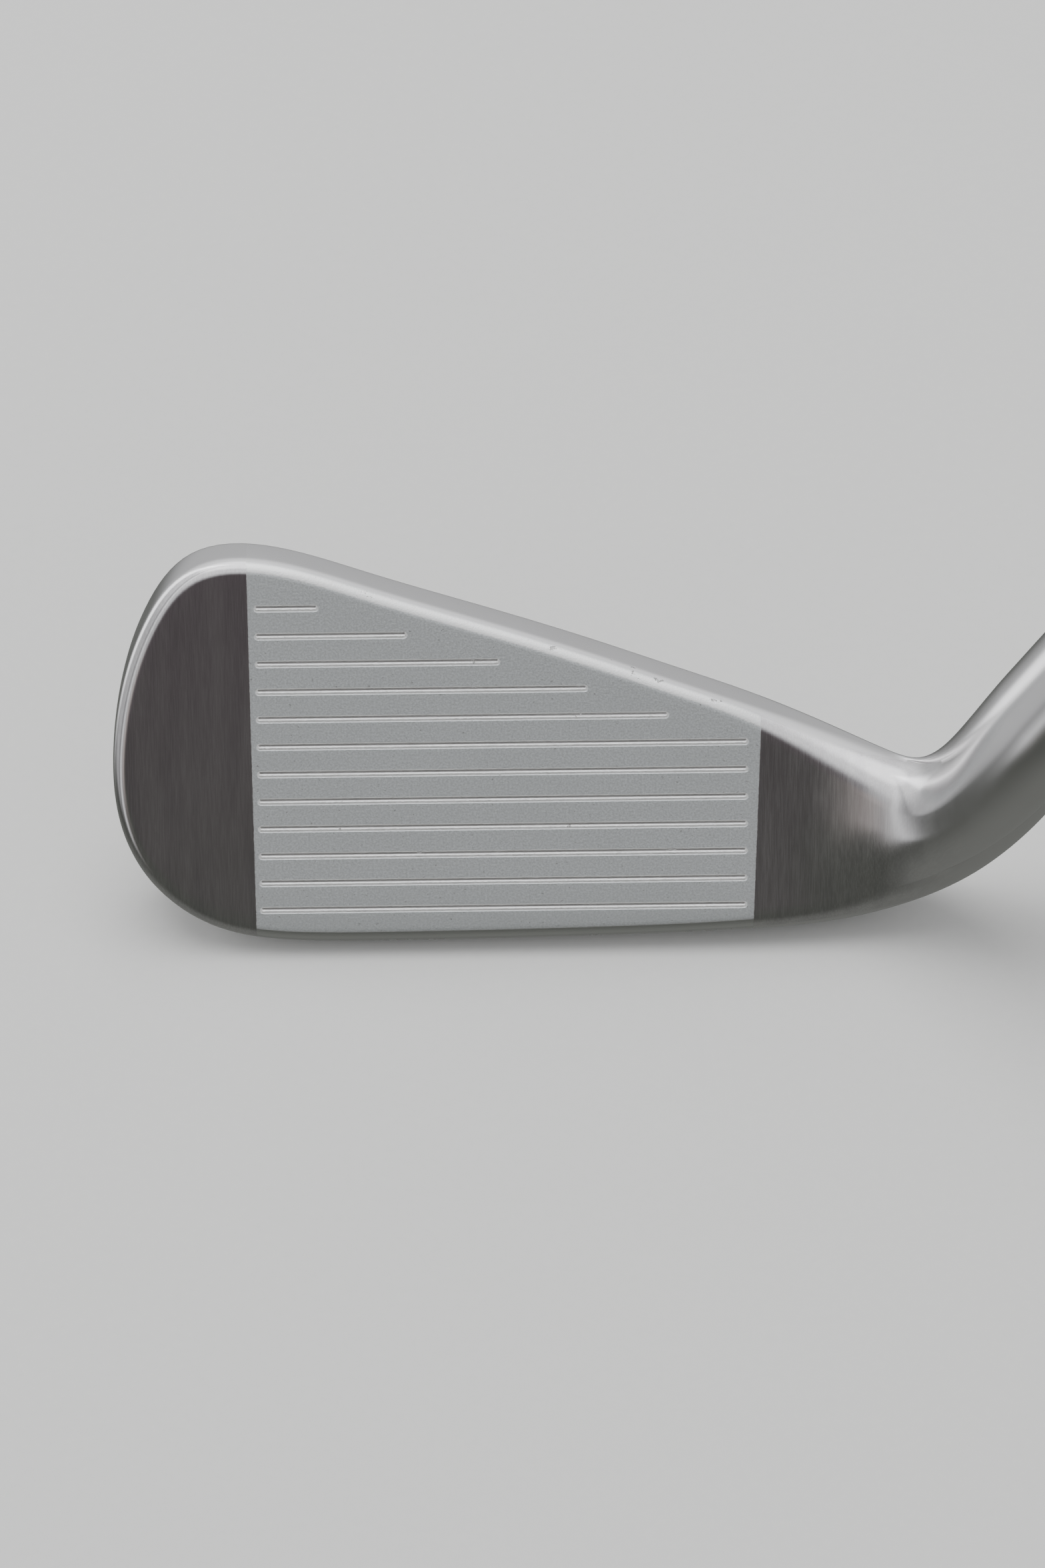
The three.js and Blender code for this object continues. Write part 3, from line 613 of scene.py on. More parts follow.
# ---- shaft, ferrule and grip ---------------------------------------------------------------------
def shaft_radius(step):
    return FIRST_STEP_RADIUS + (BUTT_RADIUS - FIRST_STEP_RADIUS) * step / STEP_COUNT


def step_place(step):
    return SHAFT_TIP + FIRST_STEP + step * STEP_PITCH


def shaft(material):
    """Tube with a slow taper above the tip and one short cone at each step."""
    top = FERRULE_START + FERRULE_LENGTH
    outside = [(TIP_RADIUS - 0.3, SHAFT_TIP), (TIP_RADIUS, SHAFT_TIP + 0.8), (TIP_RADIUS, top)]
    for height in np.linspace(top, step_place(0), 8)[1:-1]:
        t = (height - top) / (step_place(0) - top)
        outside.append((TIP_RADIUS + (FIRST_STEP_RADIUS - TIP_RADIUS) * t, height))
    for step in range(STEP_COUNT):
        low, high = shaft_radius(step), shaft_radius(step + 1)
        start, stop = step_place(step), step_place(step) + STEP_CONE
        outside += [(low, start - 0.5), (low, start), (low + 0.03, start + 0.4)]
        outside += [(high - 0.03, stop - 0.4), (high, stop), (high, stop + 0.5)]
    outside += [(BUTT_RADIUS, SHAFT_END - 0.3), (BUTT_RADIUS - 0.1, SHAFT_END)]
    inside = [
        (BUTT_RADIUS - SHAFT_WALL, SHAFT_END),
        (BUTT_RADIUS - SHAFT_WALL, step_place(STEP_COUNT)),
        (FIRST_STEP_RADIUS - SHAFT_WALL, step_place(0)),
        (TIP_RADIUS - TIP_WALL, SHAFT_TIP + TIP_WALL_LENGTH),
        (TIP_RADIUS - TIP_WALL, SHAFT_TIP),
    ]
    return dress(turned("shaft", outside + inside), "shaft", material)


def ferrule_radius(place):
    """Outer radius at a place above the ferrule's foot: a straight collar, then a taper."""
    t = max(0.0, (place - FERRULE_COLLAR) / (FERRULE_LENGTH - FERRULE_COLLAR))
    return HOSEL_RADIUS + (FERRULE_TOP_RADIUS - HOSEL_RADIUS) * t**0.8


RING_PLACES = {"ferrule_ring_lower": 1.4, "ferrule_ring_upper": 5.0}
RING_WIDTH = 1.0
RING_DEPTH = 0.7


def ferrule(material, trim):
    """Sleeve with two grooves, and a trim ring in each of them."""
    edge = ferrule_radius(0)
    foot = HOSEL_END + SEAM - FERRULE_START
    profile = [(FERRULE_BORE, foot), (edge - 0.12, foot), (edge, foot + 0.12)]
    for place in RING_PLACES.values():
        low, high = place - 0.02, place + RING_WIDTH + 0.02
        floor = ferrule_radius(place) - RING_DEPTH - 0.3
        profile += [(ferrule_radius(low), low - 0.1), (ferrule_radius(low) - 0.04, low)]
        profile += [(floor, low), (floor, high)]
        profile += [(ferrule_radius(high) - 0.04, high), (ferrule_radius(high), high + 0.1)]
    for place in np.linspace(7, FERRULE_LENGTH - 0.5, 16):
        profile.append((ferrule_radius(place), place))
    top = ferrule_radius(FERRULE_LENGTH)
    profile += [(top - 0.05, FERRULE_LENGTH - 0.2), (top - 0.2, FERRULE_LENGTH - 0.04)]
    profile += [(FERRULE_BORE + 0.05, FERRULE_LENGTH), (FERRULE_BORE, FERRULE_LENGTH - 0.05)]
    body = [(r, FERRULE_START + h) for r, h in profile]
    dress(turned("ferrule", body, smooth_angle=30), "ferrule", material)
    for node, place in RING_PLACES.items():
        low, high = ferrule_radius(place), ferrule_radius(place + RING_WIDTH)
        ring = [
            (low - RING_DEPTH, place), (low - 0.05, place), (low - 0.01, place + 0.06),
            (low - 0.005, place + 0.2), (high - 0.005, place + RING_WIDTH - 0.2),
            (high - 0.01, place + RING_WIDTH - 0.06), (high - 0.05, place + RING_WIDTH),
            (low - RING_DEPTH, place + RING_WIDTH),
        ]
        ring = [(r, FERRULE_START + h) for r, h in ring]
        dress(turned(node, ring), node, trim)


def shaft_band(material):
    """Film wrapped round the straight stretch between the two last steps."""
    start, end = BAND_START, BAND_START + BAND_LENGTH
    inner = shaft_radius(BAND_STEP) + 0.03
    outer = shaft_radius(BAND_STEP) + 0.2 + 0.25
    profile = [
        (inner, start), (outer - 0.05, start), (outer, start + 0.05), (outer, start + 0.5),
        (outer, end - 0.5), (outer, end - 0.05), (outer - 0.05, end), (inner, end),
    ]
    return dress(turned("shaft_band", profile), "shaft_band", material)


GRIP_LENGTH = GRIP_END - GRIP_START
GRIP_PLAIN = ((0.0, 22.0), (88.0, 96.0), (168.0, 176.0), (GRIP_LENGTH - 14, GRIP_LENGTH))
GRIP_RINGS = (6.7, 11.7, 16.7, 90.0, 94.0, 170.0, 174.0, GRIP_LENGTH - 11, GRIP_LENGTH - 7)
GRIP_RING_DEPTH = 0.4
TREAD_DEPTH = 0.32
TREAD_PITCH = 5.6
TREAD_STARTS = 12


def grip_radius(place):
    """Outer radius without the tread: a collar, then the taper to the butt."""
    t = np.clip(place / GRIP_LENGTH, 0, 1)
    radius = GRIP_MOUTH_RADIUS + (GRIP_BUTT_RADIUS - GRIP_MOUTH_RADIUS) * t**1.3
    return radius - 0.5 * np.clip(1 - place / 1.5, 0, 1) ** 2


def smooth(value, low, high):
    t = np.clip((value - low) / (high - low), 0, 1)
    return t * t * (3 - 2 * t)


def grip_tread(place, angle):
    """Depth of the moulded tread: ring grooves, and diamonds between two families of helices."""
    depth = np.zeros(np.broadcast(place, angle).shape)
    for ring in GRIP_RINGS:
        depth = np.maximum(depth, GRIP_RING_DEPTH * (1 - smooth(abs(place - ring), 0.15, 0.75)))
    plain = np.zeros_like(place)
    for low, high in GRIP_PLAIN:
        within = smooth(place, low - 0.8, low) * (1 - smooth(place, high, high + 0.8))
        plain = np.maximum(plain, within)
    for sense in (-1, 1):
        phase = place / TREAD_PITCH + sense * TREAD_STARTS * angle / (2 * math.pi)
        off = abs(phase - np.round(phase)) * TREAD_PITCH
        depth = np.maximum(depth, (1 - plain) * TREAD_DEPTH * (1 - smooth(off, 0.25, 0.95)))
    return depth


def grip(material):
    """Sleeve whose outside is fine enough to carry the tread as geometry."""
    places = np.concatenate([np.linspace(0, 1.5, 5), np.linspace(2.1, GRIP_LENGTH, 430)])
    angles = np.linspace(0, 2 * math.pi, 150, endpoint=False)
    place, angle = np.meshgrid(places, angles, indexing="ij")
    radius = grip_radius(place) - grip_tread(place, angle)
    outside = on_shaft(radius, angle, GRIP_START + place)
    bore = on_shaft(GRIP_BORE, angles[None, :], np.array([[GRIP_END], [GRIP_START]]))
    rings = np.concatenate([outside, bore])
    faces = ring_faces(len(rings), len(angles), closed=True)
    piece = mesh_object("grip", rings.reshape(-1, 3), faces, smooth_angle=50)
    return dress(piece, "grip", material)


def grip_cap(material):
    """Butt cap: rounded rim, a sunken ring round a hub, and the vent hole through it."""
    edge, top, base = GRIP_BUTT_RADIUS, CLUB_LENGTH, GRIP_END + SEAM
    floor = top - CAP_FIELD_DEPTH
    rounding = [
        (edge - CAP_ROUND * (1 - math.cos(a)), top - CAP_ROUND * (1 - math.sin(a)))
        for a in np.radians(np.linspace(0, 90, 9))
    ]
    field = [(9.2, top), (9.0, top - 0.08), (8.85, top - 0.3), (8.6, floor), (4.4, floor)]
    hub = [(4.2, top - 0.3), (4.05, top - 0.08), (3.85, top), (VENT_RADIUS + 0.4, top)]
    hole = [(VENT_RADIUS + 0.1, top - 0.12), (VENT_RADIUS, top - 0.4), (VENT_RADIUS, base)]
    profile = [(edge - 0.15, base), (edge, base + 0.15)] + rounding + field + hub + hole
    return dress(turned("grip_cap", profile), "grip_cap", material)


# ---- materials ------------------------------------------------------------------------------------
class Nodes:
    """Short names for the shader nodes used below, added to one node tree."""

    def __init__(self, tree):
        self.tree = tree

    def node(self, kind, inputs=(), **settings):
        node = self.tree.nodes.new(kind)
        for key, value in settings.items():
            setattr(node, key, value)
        for socket, value in dict(inputs).items():
            self.put(node.inputs[socket], value)
        return node

    def put(self, socket, value):
        if isinstance(value, bpy.types.NodeSocket):
            self.tree.links.new(value, socket)
        else:
            socket.default_value = value

    def math(self, operation, a, b=0.0, c=0.0):
        return self.node("ShaderNodeMath", {0: a, 1: b, 2: c}, operation=operation).outputs[0]

    def step(self, value, low, high):
        """Smooth rise from 0 at low to 1 at high."""
        node = self.node(
            "ShaderNodeMapRange",
            {"Value": value, "From Min": low, "From Max": high},
            interpolation_type="SMOOTHSTEP",
        )
        return node.outputs[0]

    def blend(self, factor, a, b):
        node = self.node("ShaderNodeMix", {0: factor, 2: a, 3: b}, data_type="FLOAT")
        return node.outputs[0]

    def tint(self, factor, a, b, kind="MIX"):
        """Mix of two colours, each a socket or three linear values."""
        node = self.node("ShaderNodeMix", {0: factor}, data_type="RGBA", blend_type=kind)
        for socket, value in ((6, a), (7, b)):
            self.put(node.inputs[socket], (*value, 1) if isinstance(value, tuple) else value)
        return node.outputs[2]

    def place(self, origin, axes):
        """Club-frame millimetres from an origin, measured along three axes."""
        raw = self.node("ShaderNodeTexCoord").outputs["Object"]
        scaled = self.vector_math("MULTIPLY", raw, (1 / MM,) * 3).outputs[0]
        moved = self.vector_math("SUBTRACT", scaled, tuple(origin)).outputs[0]
        dots = [self.vector_math("DOT_PRODUCT", moved, tuple(axis)) for axis in axes]
        return [dot.outputs["Value"] for dot in dots]

    def vector_math(self, operation, a, b):
        return self.node("ShaderNodeVectorMath", {0: a, 1: b}, operation=operation)

    def vector(self, x, y, z):
        return self.node("ShaderNodeCombineXYZ", {0: x, 1: y, 2: z}).outputs[0]

    def noise(self, vector, scale, detail=2.0, roughness=0.5):
        node = self.node(
            "ShaderNodeTexNoise",
            {"Vector": vector, "Scale": scale, "Detail": detail, "Roughness": roughness},
        )
        return node.outputs[0]

    def stretched(self, place, factors):
        parts = [self.math("MULTIPLY", value, factor) for value, factor in zip(place, factors)]
        return self.vector(*parts)

    def bump(self, height):
        """Normal for a height in millimetres."""
        inputs = {"Height": height, "Distance": MM, "Strength": 1.0}
        return self.node("ShaderNodeBump", inputs).outputs[0]


class Shader(Nodes):
    """One node material with a Principled surface."""

    def __init__(self, name, **fixed):
        self.material = bpy.data.materials.new(name)
        self.material.use_nodes = True
        super().__init__(self.material.node_tree)
        self.surface = self.tree.nodes["Principled BSDF"]
        for socket, value in fixed.items():
            self.surface.inputs[socket.replace("_", " ").title()].default_value = value

    def finish(self, color, roughness, normal):
        self.put(self.surface.inputs["Base Color"], color)
        self.put(self.surface.inputs["Roughness"], roughness)
        self.put(self.surface.inputs["Normal"], normal)
        return self.material


FACE_AXES = (ACROSS, UPWARD, BEHIND)
SHAFT_AXES = (TOWARDS_FRONT, TOWARDS_TOE, SHAFT_AXIS)
# Edges of the blasted area: place along the score lines at the face's origin, and lean per height.
BLAST_LEFT = (-28.22, -0.0068)
BLAST_RIGHT = (28.58, 0.0267)


def head_steel():
    """Satin chrome whose hitting area is blasted, with a polished toe and a brushed heel."""
    s = Shader("head_steel", metallic=1.0)
    u, v, w = s.place(FACE_ORIGIN, FACE_AXES)
    place = s.vector(u, v, w)
    front_side, toe_side, along = s.place(SHAFT_GROUND, SHAFT_AXES)

    # Zones: the blasted hitting area with its two masked edges, the toe, the heel and the neck.
    wander = s.math("MULTIPLY", s.math("SUBTRACT", s.noise(place, 1.3, 3), 0.5), 0.12)
    edge = s.math("ADD", u, wander)
    left = s.math("MULTIPLY_ADD", v, BLAST_LEFT[1], BLAST_LEFT[0])
    right = s.math("MULTIPLY_ADD", v, BLAST_RIGHT[1], BLAST_RIGHT[0])
    past_left = s.step(s.math("SUBTRACT", edge, left), -0.06, 0.06)
    past_right = s.step(s.math("SUBTRACT", edge, right), -0.06, 0.06)
    inside = s.math("MULTIPLY", past_left, s.math("SUBTRACT", 1.0, past_right))
    front = s.step(w, 0.95, 0.5)
    blasted = s.math("MULTIPLY", inside, front)
    over_topline = s.math("MULTIPLY", s.math("SUBTRACT", inside, blasted), s.step(w, 6.2, 5.4))
    toe = s.math("MULTIPLY", s.math("SUBTRACT", 1.0, past_left), front)
    heel = s.math("MULTIPLY", past_right, s.step(u, 54, 36))
    neck = s.step(u, 40, 56)
    groove = s.math("MULTIPLY", s.step(w, 0.03, 0.08), blasted)

    # Grinding marks: upright on the face, round the rim behind it, lengthwise on the neck.
    upright = s.noise(s.stretched((u, v, w), (7, 0.25, 7)), 1.0, 5, 0.65)
    coarse = s.noise(s.stretched((u, v, w), (0.45, 0.035, 0.45)), 1.0, 4, 0.6)
    round_band = s.noise(s.stretched((u, v, w), (0.3, 0.3, 8)), 1.0, 3, 0.6)
    along_neck = s.noise(s.stretched((front_side, toe_side, along), (5, 5, 0.12)), 1.0, 4, 0.6)
    brushed = s.blend(neck, s.blend(front, round_band, upright), along_neck)
    grain = s.noise(place, 4.2, 3, 0.7)
    clouds = s.noise(place, 0.09, 3, 0.6)

    # Wear: pits and hairline scratches on the face, nicks along its upper edge.
    pits = s.step(s.noise(place, 1.9, 2, 0.6), 0.67, 0.74)
    patch = s.step(s.noise(place, 0.16, 2), 0.5, 0.62)
    slanted = s.math("ADD", u, s.math("MULTIPLY", v, 0.5))
    hair = s.noise(s.stretched((slanted, v, w), (0.14, 6, 2)), 1.0, 2)
    hair = s.math("MULTIPLY", s.step(hair, 0.68, 0.73), patch)
    ridge = s.math("MULTIPLY", s.step(w, 0.1, 0.35), s.step(w, 1.9, 1.3))
    ridge = s.math("MULTIPLY", s.math("MULTIPLY", ridge, inside), s.step(v, 5, 9))
    nick = s.math("MULTIPLY", s.step(s.noise(place, 0.45, 4, 0.65), 0.655, 0.69), ridge)

    brush_depth = s.blend(heel, s.blend(toe, 0.0007, 0.0022), 0.004)
    height = s.math("MULTIPLY", brushed, brush_depth)
    height = s.blend(blasted, height, s.math("MULTIPLY", grain, 0.03))
    pitted = s.math("MULTIPLY", pits, blasted)
    height = s.math("SUBTRACT", height, s.math("MULTIPLY", pitted, 0.008))
    height = s.math("SUBTRACT", height, s.math("MULTIPLY", nick, 0.05))

    rough = s.blend(toe, 0.21, 0.15)
    rough = s.blend(heel, rough, s.math("MULTIPLY_ADD", upright, 0.14, 0.13))
    rough = s.math("ADD", rough, s.math("MULTIPLY", s.math("SUBTRACT", clouds, 0.5), 0.08))
    rough = s.math("ADD", rough, s.math("MULTIPLY", s.math("SUBTRACT", coarse, 0.5), 0.08))
    rough = s.math("ADD", rough, s.math("MULTIPLY", over_topline, 0.07))
    rough = s.blend(blasted, rough, s.math("MULTIPLY_ADD", grain, 0.12, 0.46))
    rough = s.blend(groove, rough, 0.3)

    bright = s.tint(clouds, (0.76, 0.75, 0.745), (0.84, 0.83, 0.83))
    dull = s.tint(1.0, bright, (0.9, 0.89, 0.895), "MULTIPLY")
    fine = s.tint(s.step(brushed, 0.4, 0.62), dull, bright)
    shaded = s.tint(1.0, fine, (0.91, 0.905, 0.915), "MULTIPLY")
    steel = s.tint(s.step(coarse, 0.38, 0.62), shaded, fine)
    steel = s.tint(s.math("MAXIMUM", neck, s.math("SUBTRACT", 1.0, front)), steel, bright)
    matte = s.tint(s.step(grain, 0.3, 0.72), (0.525, 0.545, 0.55), (0.755, 0.78, 0.79))
    # Painted shade: the blasted area darkens towards the bottom of the face, and the clouds add
    # random darker tone on top.
    low_face_shade = s.math("MULTIPLY", s.step(v, 4, -3), 0.3)
    shade_and_clouds = s.math("ADD", low_face_shade, s.math("MULTIPLY", clouds, 0.25))
    matte = s.tint(shade_and_clouds, matte, (0.47, 0.495, 0.49))
    matte = s.tint(s.math("MULTIPLY", pits, 0.55), matte, (0.16, 0.15, 0.14))
    matte = s.tint(s.math("MULTIPLY", hair, 0.4), matte, (0.8, 0.8, 0.8))
    matte = s.tint(groove, matte, (0.84, 0.84, 0.83))
    color = s.tint(blasted, steel, matte)
    color = s.tint(s.math("MULTIPLY", nick, 0.6), color, (0.2, 0.19, 0.18))
    metallic = s.blend(s.math("SUBTRACT", blasted, groove), 1.0, 0.72)
    s.put(s.surface.inputs["Metallic"], metallic)
    return s.finish(color, rough, s.bump(height))


def turned_metal(name, low, high, rough):
    """Metal with fine rings about the shaft axis and faint clouds."""
    s = Shader(name, metallic=1.0)
    front_side, toe_side, along = s.place(SHAFT_GROUND, SHAFT_AXES)
    lines = s.noise(s.stretched((front_side, toe_side, along), (0.4, 0.4, 6)), 1.0, 4, 0.6)
    clouds = s.noise(s.vector(front_side, toe_side, along), 0.15, 3, 0.6)
    color = s.tint(clouds, low, high)
    cloudy = s.math("MULTIPLY_ADD", clouds, 0.1, rough - 0.1)
    roughness = s.math("MULTIPLY_ADD", lines, 0.12, cloudy)
    return s.finish(color, roughness, s.bump(s.math("MULTIPLY", lines, 0.002)))


def badge_metal():
    """Anodised plate, brushed along the score lines inside its rolled edge."""
    s = Shader("badge_metal", metallic=1.0)
    u, v, w = s.place(FACE_ORIGIN, FACE_AXES)
    brush = s.noise(s.stretched((u, v, w), (0.25, 8, 8)), 1.0, 4, 0.6)
    field = s.step(w, BADGE[1] - 0.14, BADGE[1] - 0.04)
    color = s.tint(field, (0.06, 0.065, 0.075), (0.56, 0.57, 0.59))
    color = s.tint(s.math("MULTIPLY", brush, 0.35), color, (0.3, 0.3, 0.31))
    roughness = s.math("MULTIPLY_ADD", brush, 0.2, 0.22)
    return s.finish(color, roughness, s.bump(s.math("MULTIPLY", brush, 0.004)))


def molded(name, low, high, rough, grain_size, depth, spread=0.1):
    """Rubber, plastic or paper: fine grain, faint clouds of colour and uneven gloss."""
    s = Shader(name, metallic=0.0)
    place = s.vector(*s.place(FACE_ORIGIN, FACE_AXES))
    grain = s.noise(place, 1.0 / grain_size, 3, 0.6)
    clouds = s.noise(place, 0.08, 3, 0.6)
    color = s.tint(s.blend(0.5, grain, clouds), low, high)
    roughness = s.math("MULTIPLY_ADD", clouds, spread, rough - spread / 2)
    return s.finish(color, roughness, s.bump(s.math("MULTIPLY", grain, depth)))


def shaft_chrome():
    """Mirror chrome with hairlines along the shaft and faint smudges."""
    s = Shader("shaft_chrome", metallic=1.0)
    front_side, toe_side, along = s.place(SHAFT_GROUND, SHAFT_AXES)
    place = s.vector(front_side, toe_side, along)
    scratches = s.noise(s.stretched((front_side, toe_side, along), (3.5, 3.5, 0.05)), 1.0, 5, 0.65)
    smudges = s.noise(place, 0.05, 4, 0.6)
    roughness = s.math("MULTIPLY_ADD", smudges, 0.1, s.math("MULTIPLY_ADD", scratches, 0.05, 0.02))
    color = s.tint(smudges, (0.78, 0.785, 0.80), (0.86, 0.865, 0.88))
    return s.finish(color, roughness, s.bump(s.math("MULTIPLY", scratches, 0.0012)))


def band_film():
    """Clear-coated film: a dark field between pale borders, with three plain rings."""
    s = Shader("band_film", metallic=0.0, coat_weight=0.6)
    front_side, toe_side, along = s.place(SHAFT_GROUND, SHAFT_AXES)
    away = s.math("ABSOLUTE", s.math("SUBTRACT", along, BAND_START + BAND_LENGTH / 2))
    border = s.step(away, 11.4, 11.6)
    ring = s.math("MULTIPLY", s.step(away, 9.0, 9.1), s.step(away, 10.1, 10.0))
    middle = s.step(away, 0.9, 0.8)
    pale = s.math("MAXIMUM", s.math("MAXIMUM", border, ring), middle)
    grain = s.noise(s.vector(front_side, toe_side, along), 3.0, 3, 0.6)
    color = s.tint(grain, (0.018, 0.03, 0.06), (0.03, 0.045, 0.085))
    color = s.tint(pale, color, (0.55, 0.56, 0.58))
    roughness = s.math("MULTIPLY_ADD", grain, 0.1, 0.22)
    return s.finish(color, roughness, s.bump(s.math("MULTIPLY", grain, 0.004)))


# ---- scene ---------------------------------------------------------------------------------------
FLOOR_REACH = 20000
FLOOR_GAP = 0.3
# Strips of the reflected surround: from, to and soft edge, in degrees from the front to the toe side.
BRIGHT_STRIP = (97, 132, 12)
SIDE_STRIP = (41, 51, 4)
DIM_STRIP = (54, 66, 4)
LENS_LENGTH = 176.0
SENSOR_WIDTH = 36.0
CAMERA_ANGLES = (-1.307, 48.624, 0.270)
CAMERA_FROM_FACE = np.array([-10.864, -566.898, 664.958])


def studio_floor():
    """Pale paper just under the sole, left out of reflections, which have their own surround."""
    reach = FLOOR_REACH
    points = [(-reach, -reach, 0), (reach, -reach, 0), (reach, reach, 0), (-reach, reach, 0)]
    floor = mesh_object("floor", points, [(0, 1, 2, 3)])
    floor.location.z = -FLOOR_GAP * MM
    s = Shader("floor_paper")
    place = s.vector(*s.place((0, 0, 0), (ACROSS, (0, 1, 0), (0, 0, 1))))
    grain = s.noise(place, 0.8, 3, 0.6)
    color = s.tint(grain, (0.70, 0.70, 0.69), (0.74, 0.74, 0.73))
    roughness = s.math("MULTIPLY_ADD", grain, 0.1, 0.75)
    wear(floor, s.finish(color, roughness, s.bump(s.math("MULTIPLY", grain, 0.01))))
    floor.visible_glossy = False


def studio_world():
    """Even pale light, with a separate surround for reflections: dark in front, pale elsewhere."""
    world = bpy.data.worlds.new("studio")
    bpy.context.scene.world = world
    world.use_nodes = True
    s = Nodes(world.node_tree)
    direction = s.node("ShaderNodeTexCoord").outputs["Generated"]
    axes = s.node("ShaderNodeSeparateXYZ", {0: direction})
    x, y, z = axes.outputs
    level = s.math("SQRT", s.math("SUBTRACT", 1.0, s.math("MULTIPLY", z, z)))
    flat = s.math("MAXIMUM", level, 0.001)
    ahead = s.math("DIVIDE", s.math("MULTIPLY", y, -1.0), flat)
    front = s.step(ahead, 0.86, 0.975)
    turn = s.math("ARCTAN2", s.math("MULTIPLY", x, -1.0), s.math("MULTIPLY", y, -1.0))

    def upright_strip(low, high, soft):
        low, high, soft = (math.radians(a) for a in (low, high, soft))
        return s.math("MULTIPLY", s.step(turn, low, low + soft), s.step(turn, high, high - soft))

    sky = s.blend(s.step(z, 0.0, 0.75), 0.6, 1.25)
    sky = s.math("ADD", sky, s.math("MULTIPLY", upright_strip(*BRIGHT_STRIP), 1.7))
    sky = s.math("ADD", sky, s.math("MULTIPLY", upright_strip(*SIDE_STRIP), 0.55))
    sky = s.math("ADD", sky, s.math("MULTIPLY", s.step(z, 0.78, 0.95), 1.1))
    sky = s.math("MULTIPLY", sky, s.blend(upright_strip(*DIM_STRIP), 1.0, 0.5))
    behind, before = s.step(z, -0.5, -0.27), s.step(z, -0.19, -0.02)
    beside = s.blend(s.step(ahead, 0.74, 0.88), behind, before)
    open_side = s.blend(s.step(y, -0.2, 0.4), beside, s.step(z, -0.65, -0.15))
    rise = s.blend(front, open_side, s.step(z, 0.1, 0.6))
    low = s.tint(s.step(z, -0.03, 0.0), (0.088, 0.092, 0.084), (0.104, 0.09, 0.096))
    low = s.tint(s.step(z, -0.45, -0.9), low, (0.17, 0.175, 0.165))
    warm = s.math("MULTIPLY", s.step(ahead, 0.72, 0.9), s.step(z, 0.16, 0.04))
    sky_tint = s.tint(warm, (0.99, 1.0, 1.02), (1.0, 0.9, 0.86))
    high = s.tint(1.0, sky_tint, s.vector(sky, sky, sky), "MULTIPLY")
    reflected = s.tint(rise, low, high)
    even = s.node("ShaderNodeRGB").outputs[0]
    even.default_value = (0.62, 0.625, 0.63, 1)
    ray = s.node("ShaderNodeLightPath").outputs["Is Glossy Ray"]
    background = s.tree.nodes["Background"]
    s.put(background.inputs[0], s.tint(ray, even, reflected))
    background.inputs[1].default_value = 1.0


def softbox(name, place, aim, size, power):
    """Rectangular area lamp at a place, turned to its aim, in metres and watts."""
    lamp = bpy.data.lights.new(name, "AREA")
    lamp.shape = "RECTANGLE"
    lamp.size, lamp.size_y = size
    lamp.energy = power
    box = bpy.data.objects.new(name, lamp)
    box.location = place
    box.rotation_euler = (Vector(place) - Vector(aim)).to_track_quat("Z", "Y").to_euler()
    box.visible_glossy = False
    bpy.context.scene.collection.objects.link(box)


def camera():
    """Long lens that looks steeply down at the face from the side it faces."""
    lens = bpy.data.cameras.new("camera")
    lens.lens = LENS_LENGTH
    lens.sensor_width = SENSOR_WIDTH
    lens.clip_start = 0.01
    lens.clip_end = 50
    eye = bpy.data.objects.new("camera", lens)
    azimuth, elevation, roll = (math.radians(angle) for angle in CAMERA_ANGLES)
    back = np.array([
        math.sin(azimuth) * math.cos(elevation),
        -math.cos(azimuth) * math.cos(elevation),
        math.sin(elevation),
    ])
    level = np.array([math.cos(azimuth), math.sin(azimuth), 0.0])
    above = np.cross(back, level)
    right = math.cos(roll) * level + math.sin(roll) * above
    up = math.cos(roll) * above - math.sin(roll) * level
    place = (FACE_ORIGIN + CAMERA_FROM_FACE) * MM
    columns = np.column_stack([right, up, back, place])
    eye.matrix_world = Matrix([*columns.tolist(), [0, 0, 0, 1]])
    bpy.context.scene.collection.objects.link(eye)
    bpy.context.scene.camera = eye


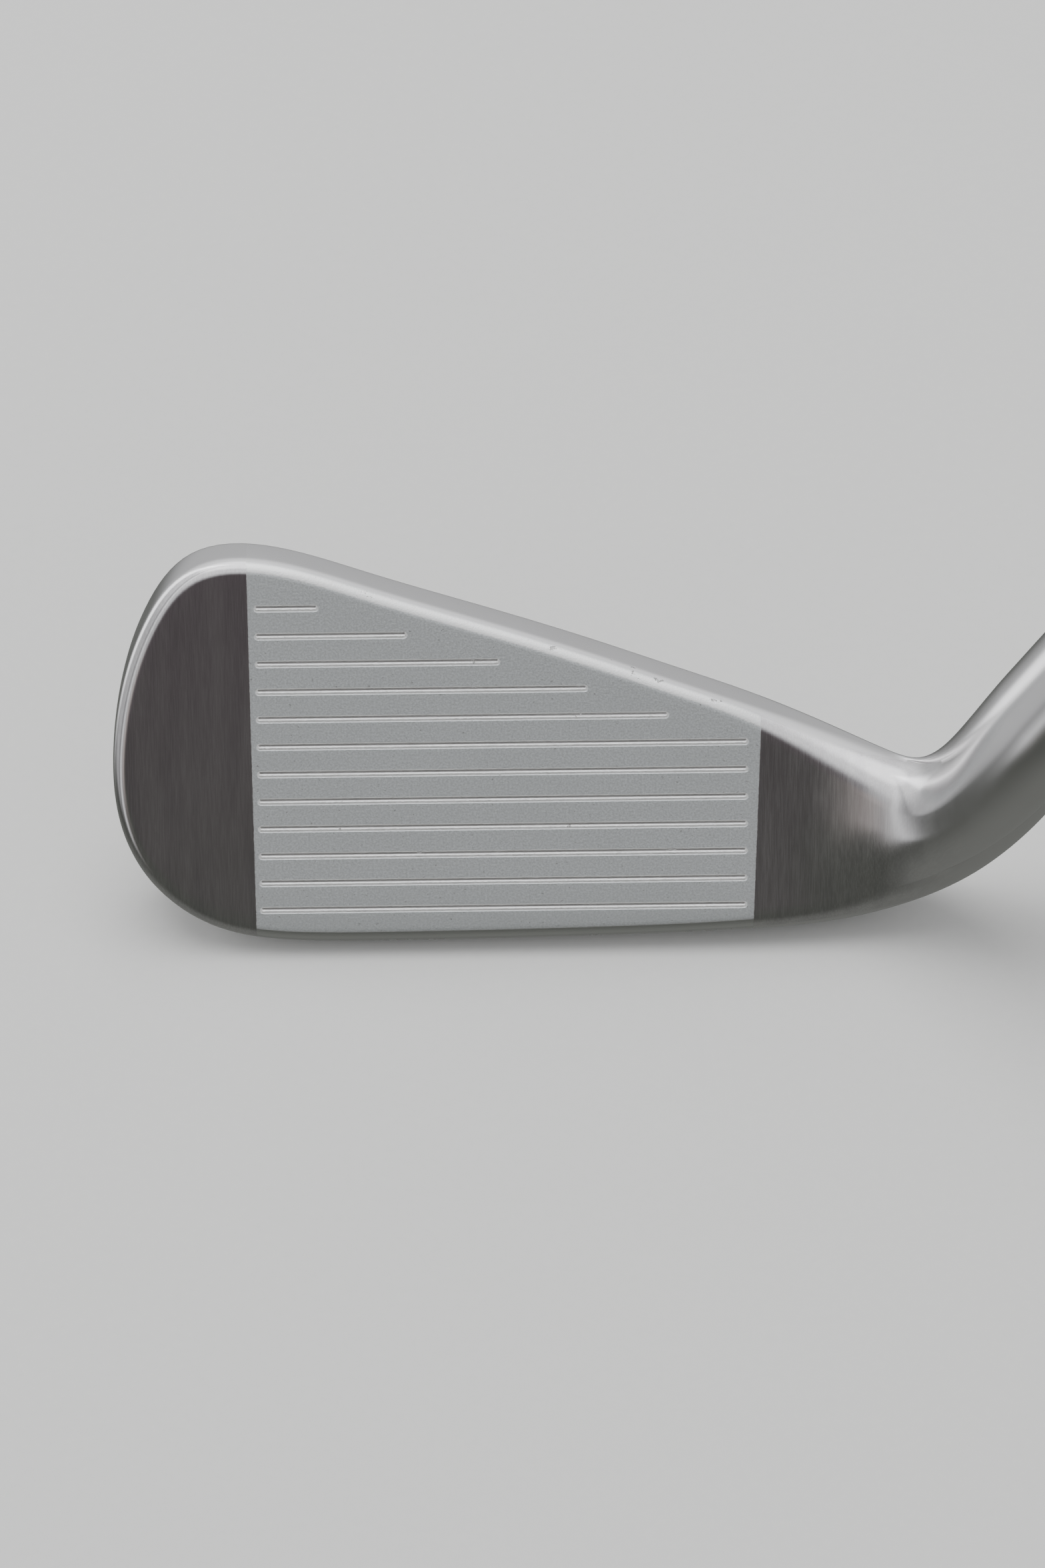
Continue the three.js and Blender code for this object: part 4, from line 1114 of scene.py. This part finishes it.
wear(club_head(), head_steel())
tungsten = turned_metal("tungsten", (0.30, 0.30, 0.31), (0.42, 0.42, 0.43), 0.42)
muscle_weight("toe_weight", -1, tungsten)
muscle_weight("heel_weight", 1, tungsten)
elastomer = molded("damper_elastomer", (0.02, 0.02, 0.022), (0.04, 0.04, 0.043), 0.75, 0.25, 0.01)
cavity_damper(elastomer)
badge = badge_metal()
cavity_badge(badge)
badge_rib("badge_rib_low", ((-31.5, 15.0), (22.0, 15.0)), 0.18, badge)
badge_rib("badge_rib_high", ((-31.5, 29.5), (-17.0, 29.5)), 0.18, badge)
shaft(shaft_chrome())
ferrule(
    molded("ferrule_gloss", (0.008, 0.008, 0.009), (0.014, 0.014, 0.016), 0.16, 0.3, 0.001, 0.08),
    turned_metal("trim_metal", (0.72, 0.73, 0.75), (0.82, 0.83, 0.85), 0.22),
)
shaft_band(band_film())
grip(molded("grip_rubber", (0.018, 0.018, 0.019), (0.035, 0.035, 0.036), 0.82, 0.22, 0.03))
grip_cap(molded("cap_rubber", (0.018, 0.018, 0.019), (0.032, 0.032, 0.033), 0.7, 0.3, 0.015))

# The hidden pieces keep their CAD meshes and only get materials.
foam_tape = molded("foam_tape", (0.68, 0.67, 0.62), (0.8, 0.79, 0.74), 0.7, 0.3, 0.01)
tip_brass = turned_metal("tip_brass", (0.6, 0.44, 0.2), (0.72, 0.54, 0.27), 0.38)
epoxy = molded("epoxy", (0.4, 0.34, 0.16), (0.52, 0.45, 0.24), 0.3, 0.5, 0.004)
paper_tape = molded("paper_tape", (0.62, 0.55, 0.4), (0.74, 0.67, 0.52), 0.85, 0.2, 0.01)
wear(nodes["badge_adhesive"], foam_tape)
wear(nodes["tip_weight"], tip_brass)
wear(nodes["hosel_epoxy"], epoxy)
wear(nodes["grip_tape"], paper_tape)

studio_floor()
studio_world()
softbox("overhead", (-0.15, 0.25, 1.3), (0, 0, 0.02), (1.1, 0.8), 14)
softbox("left_window", (-1.4, 0.5, 0.7), (0.02, 0, 0.03), (0.5, 1.2), 6)
camera()
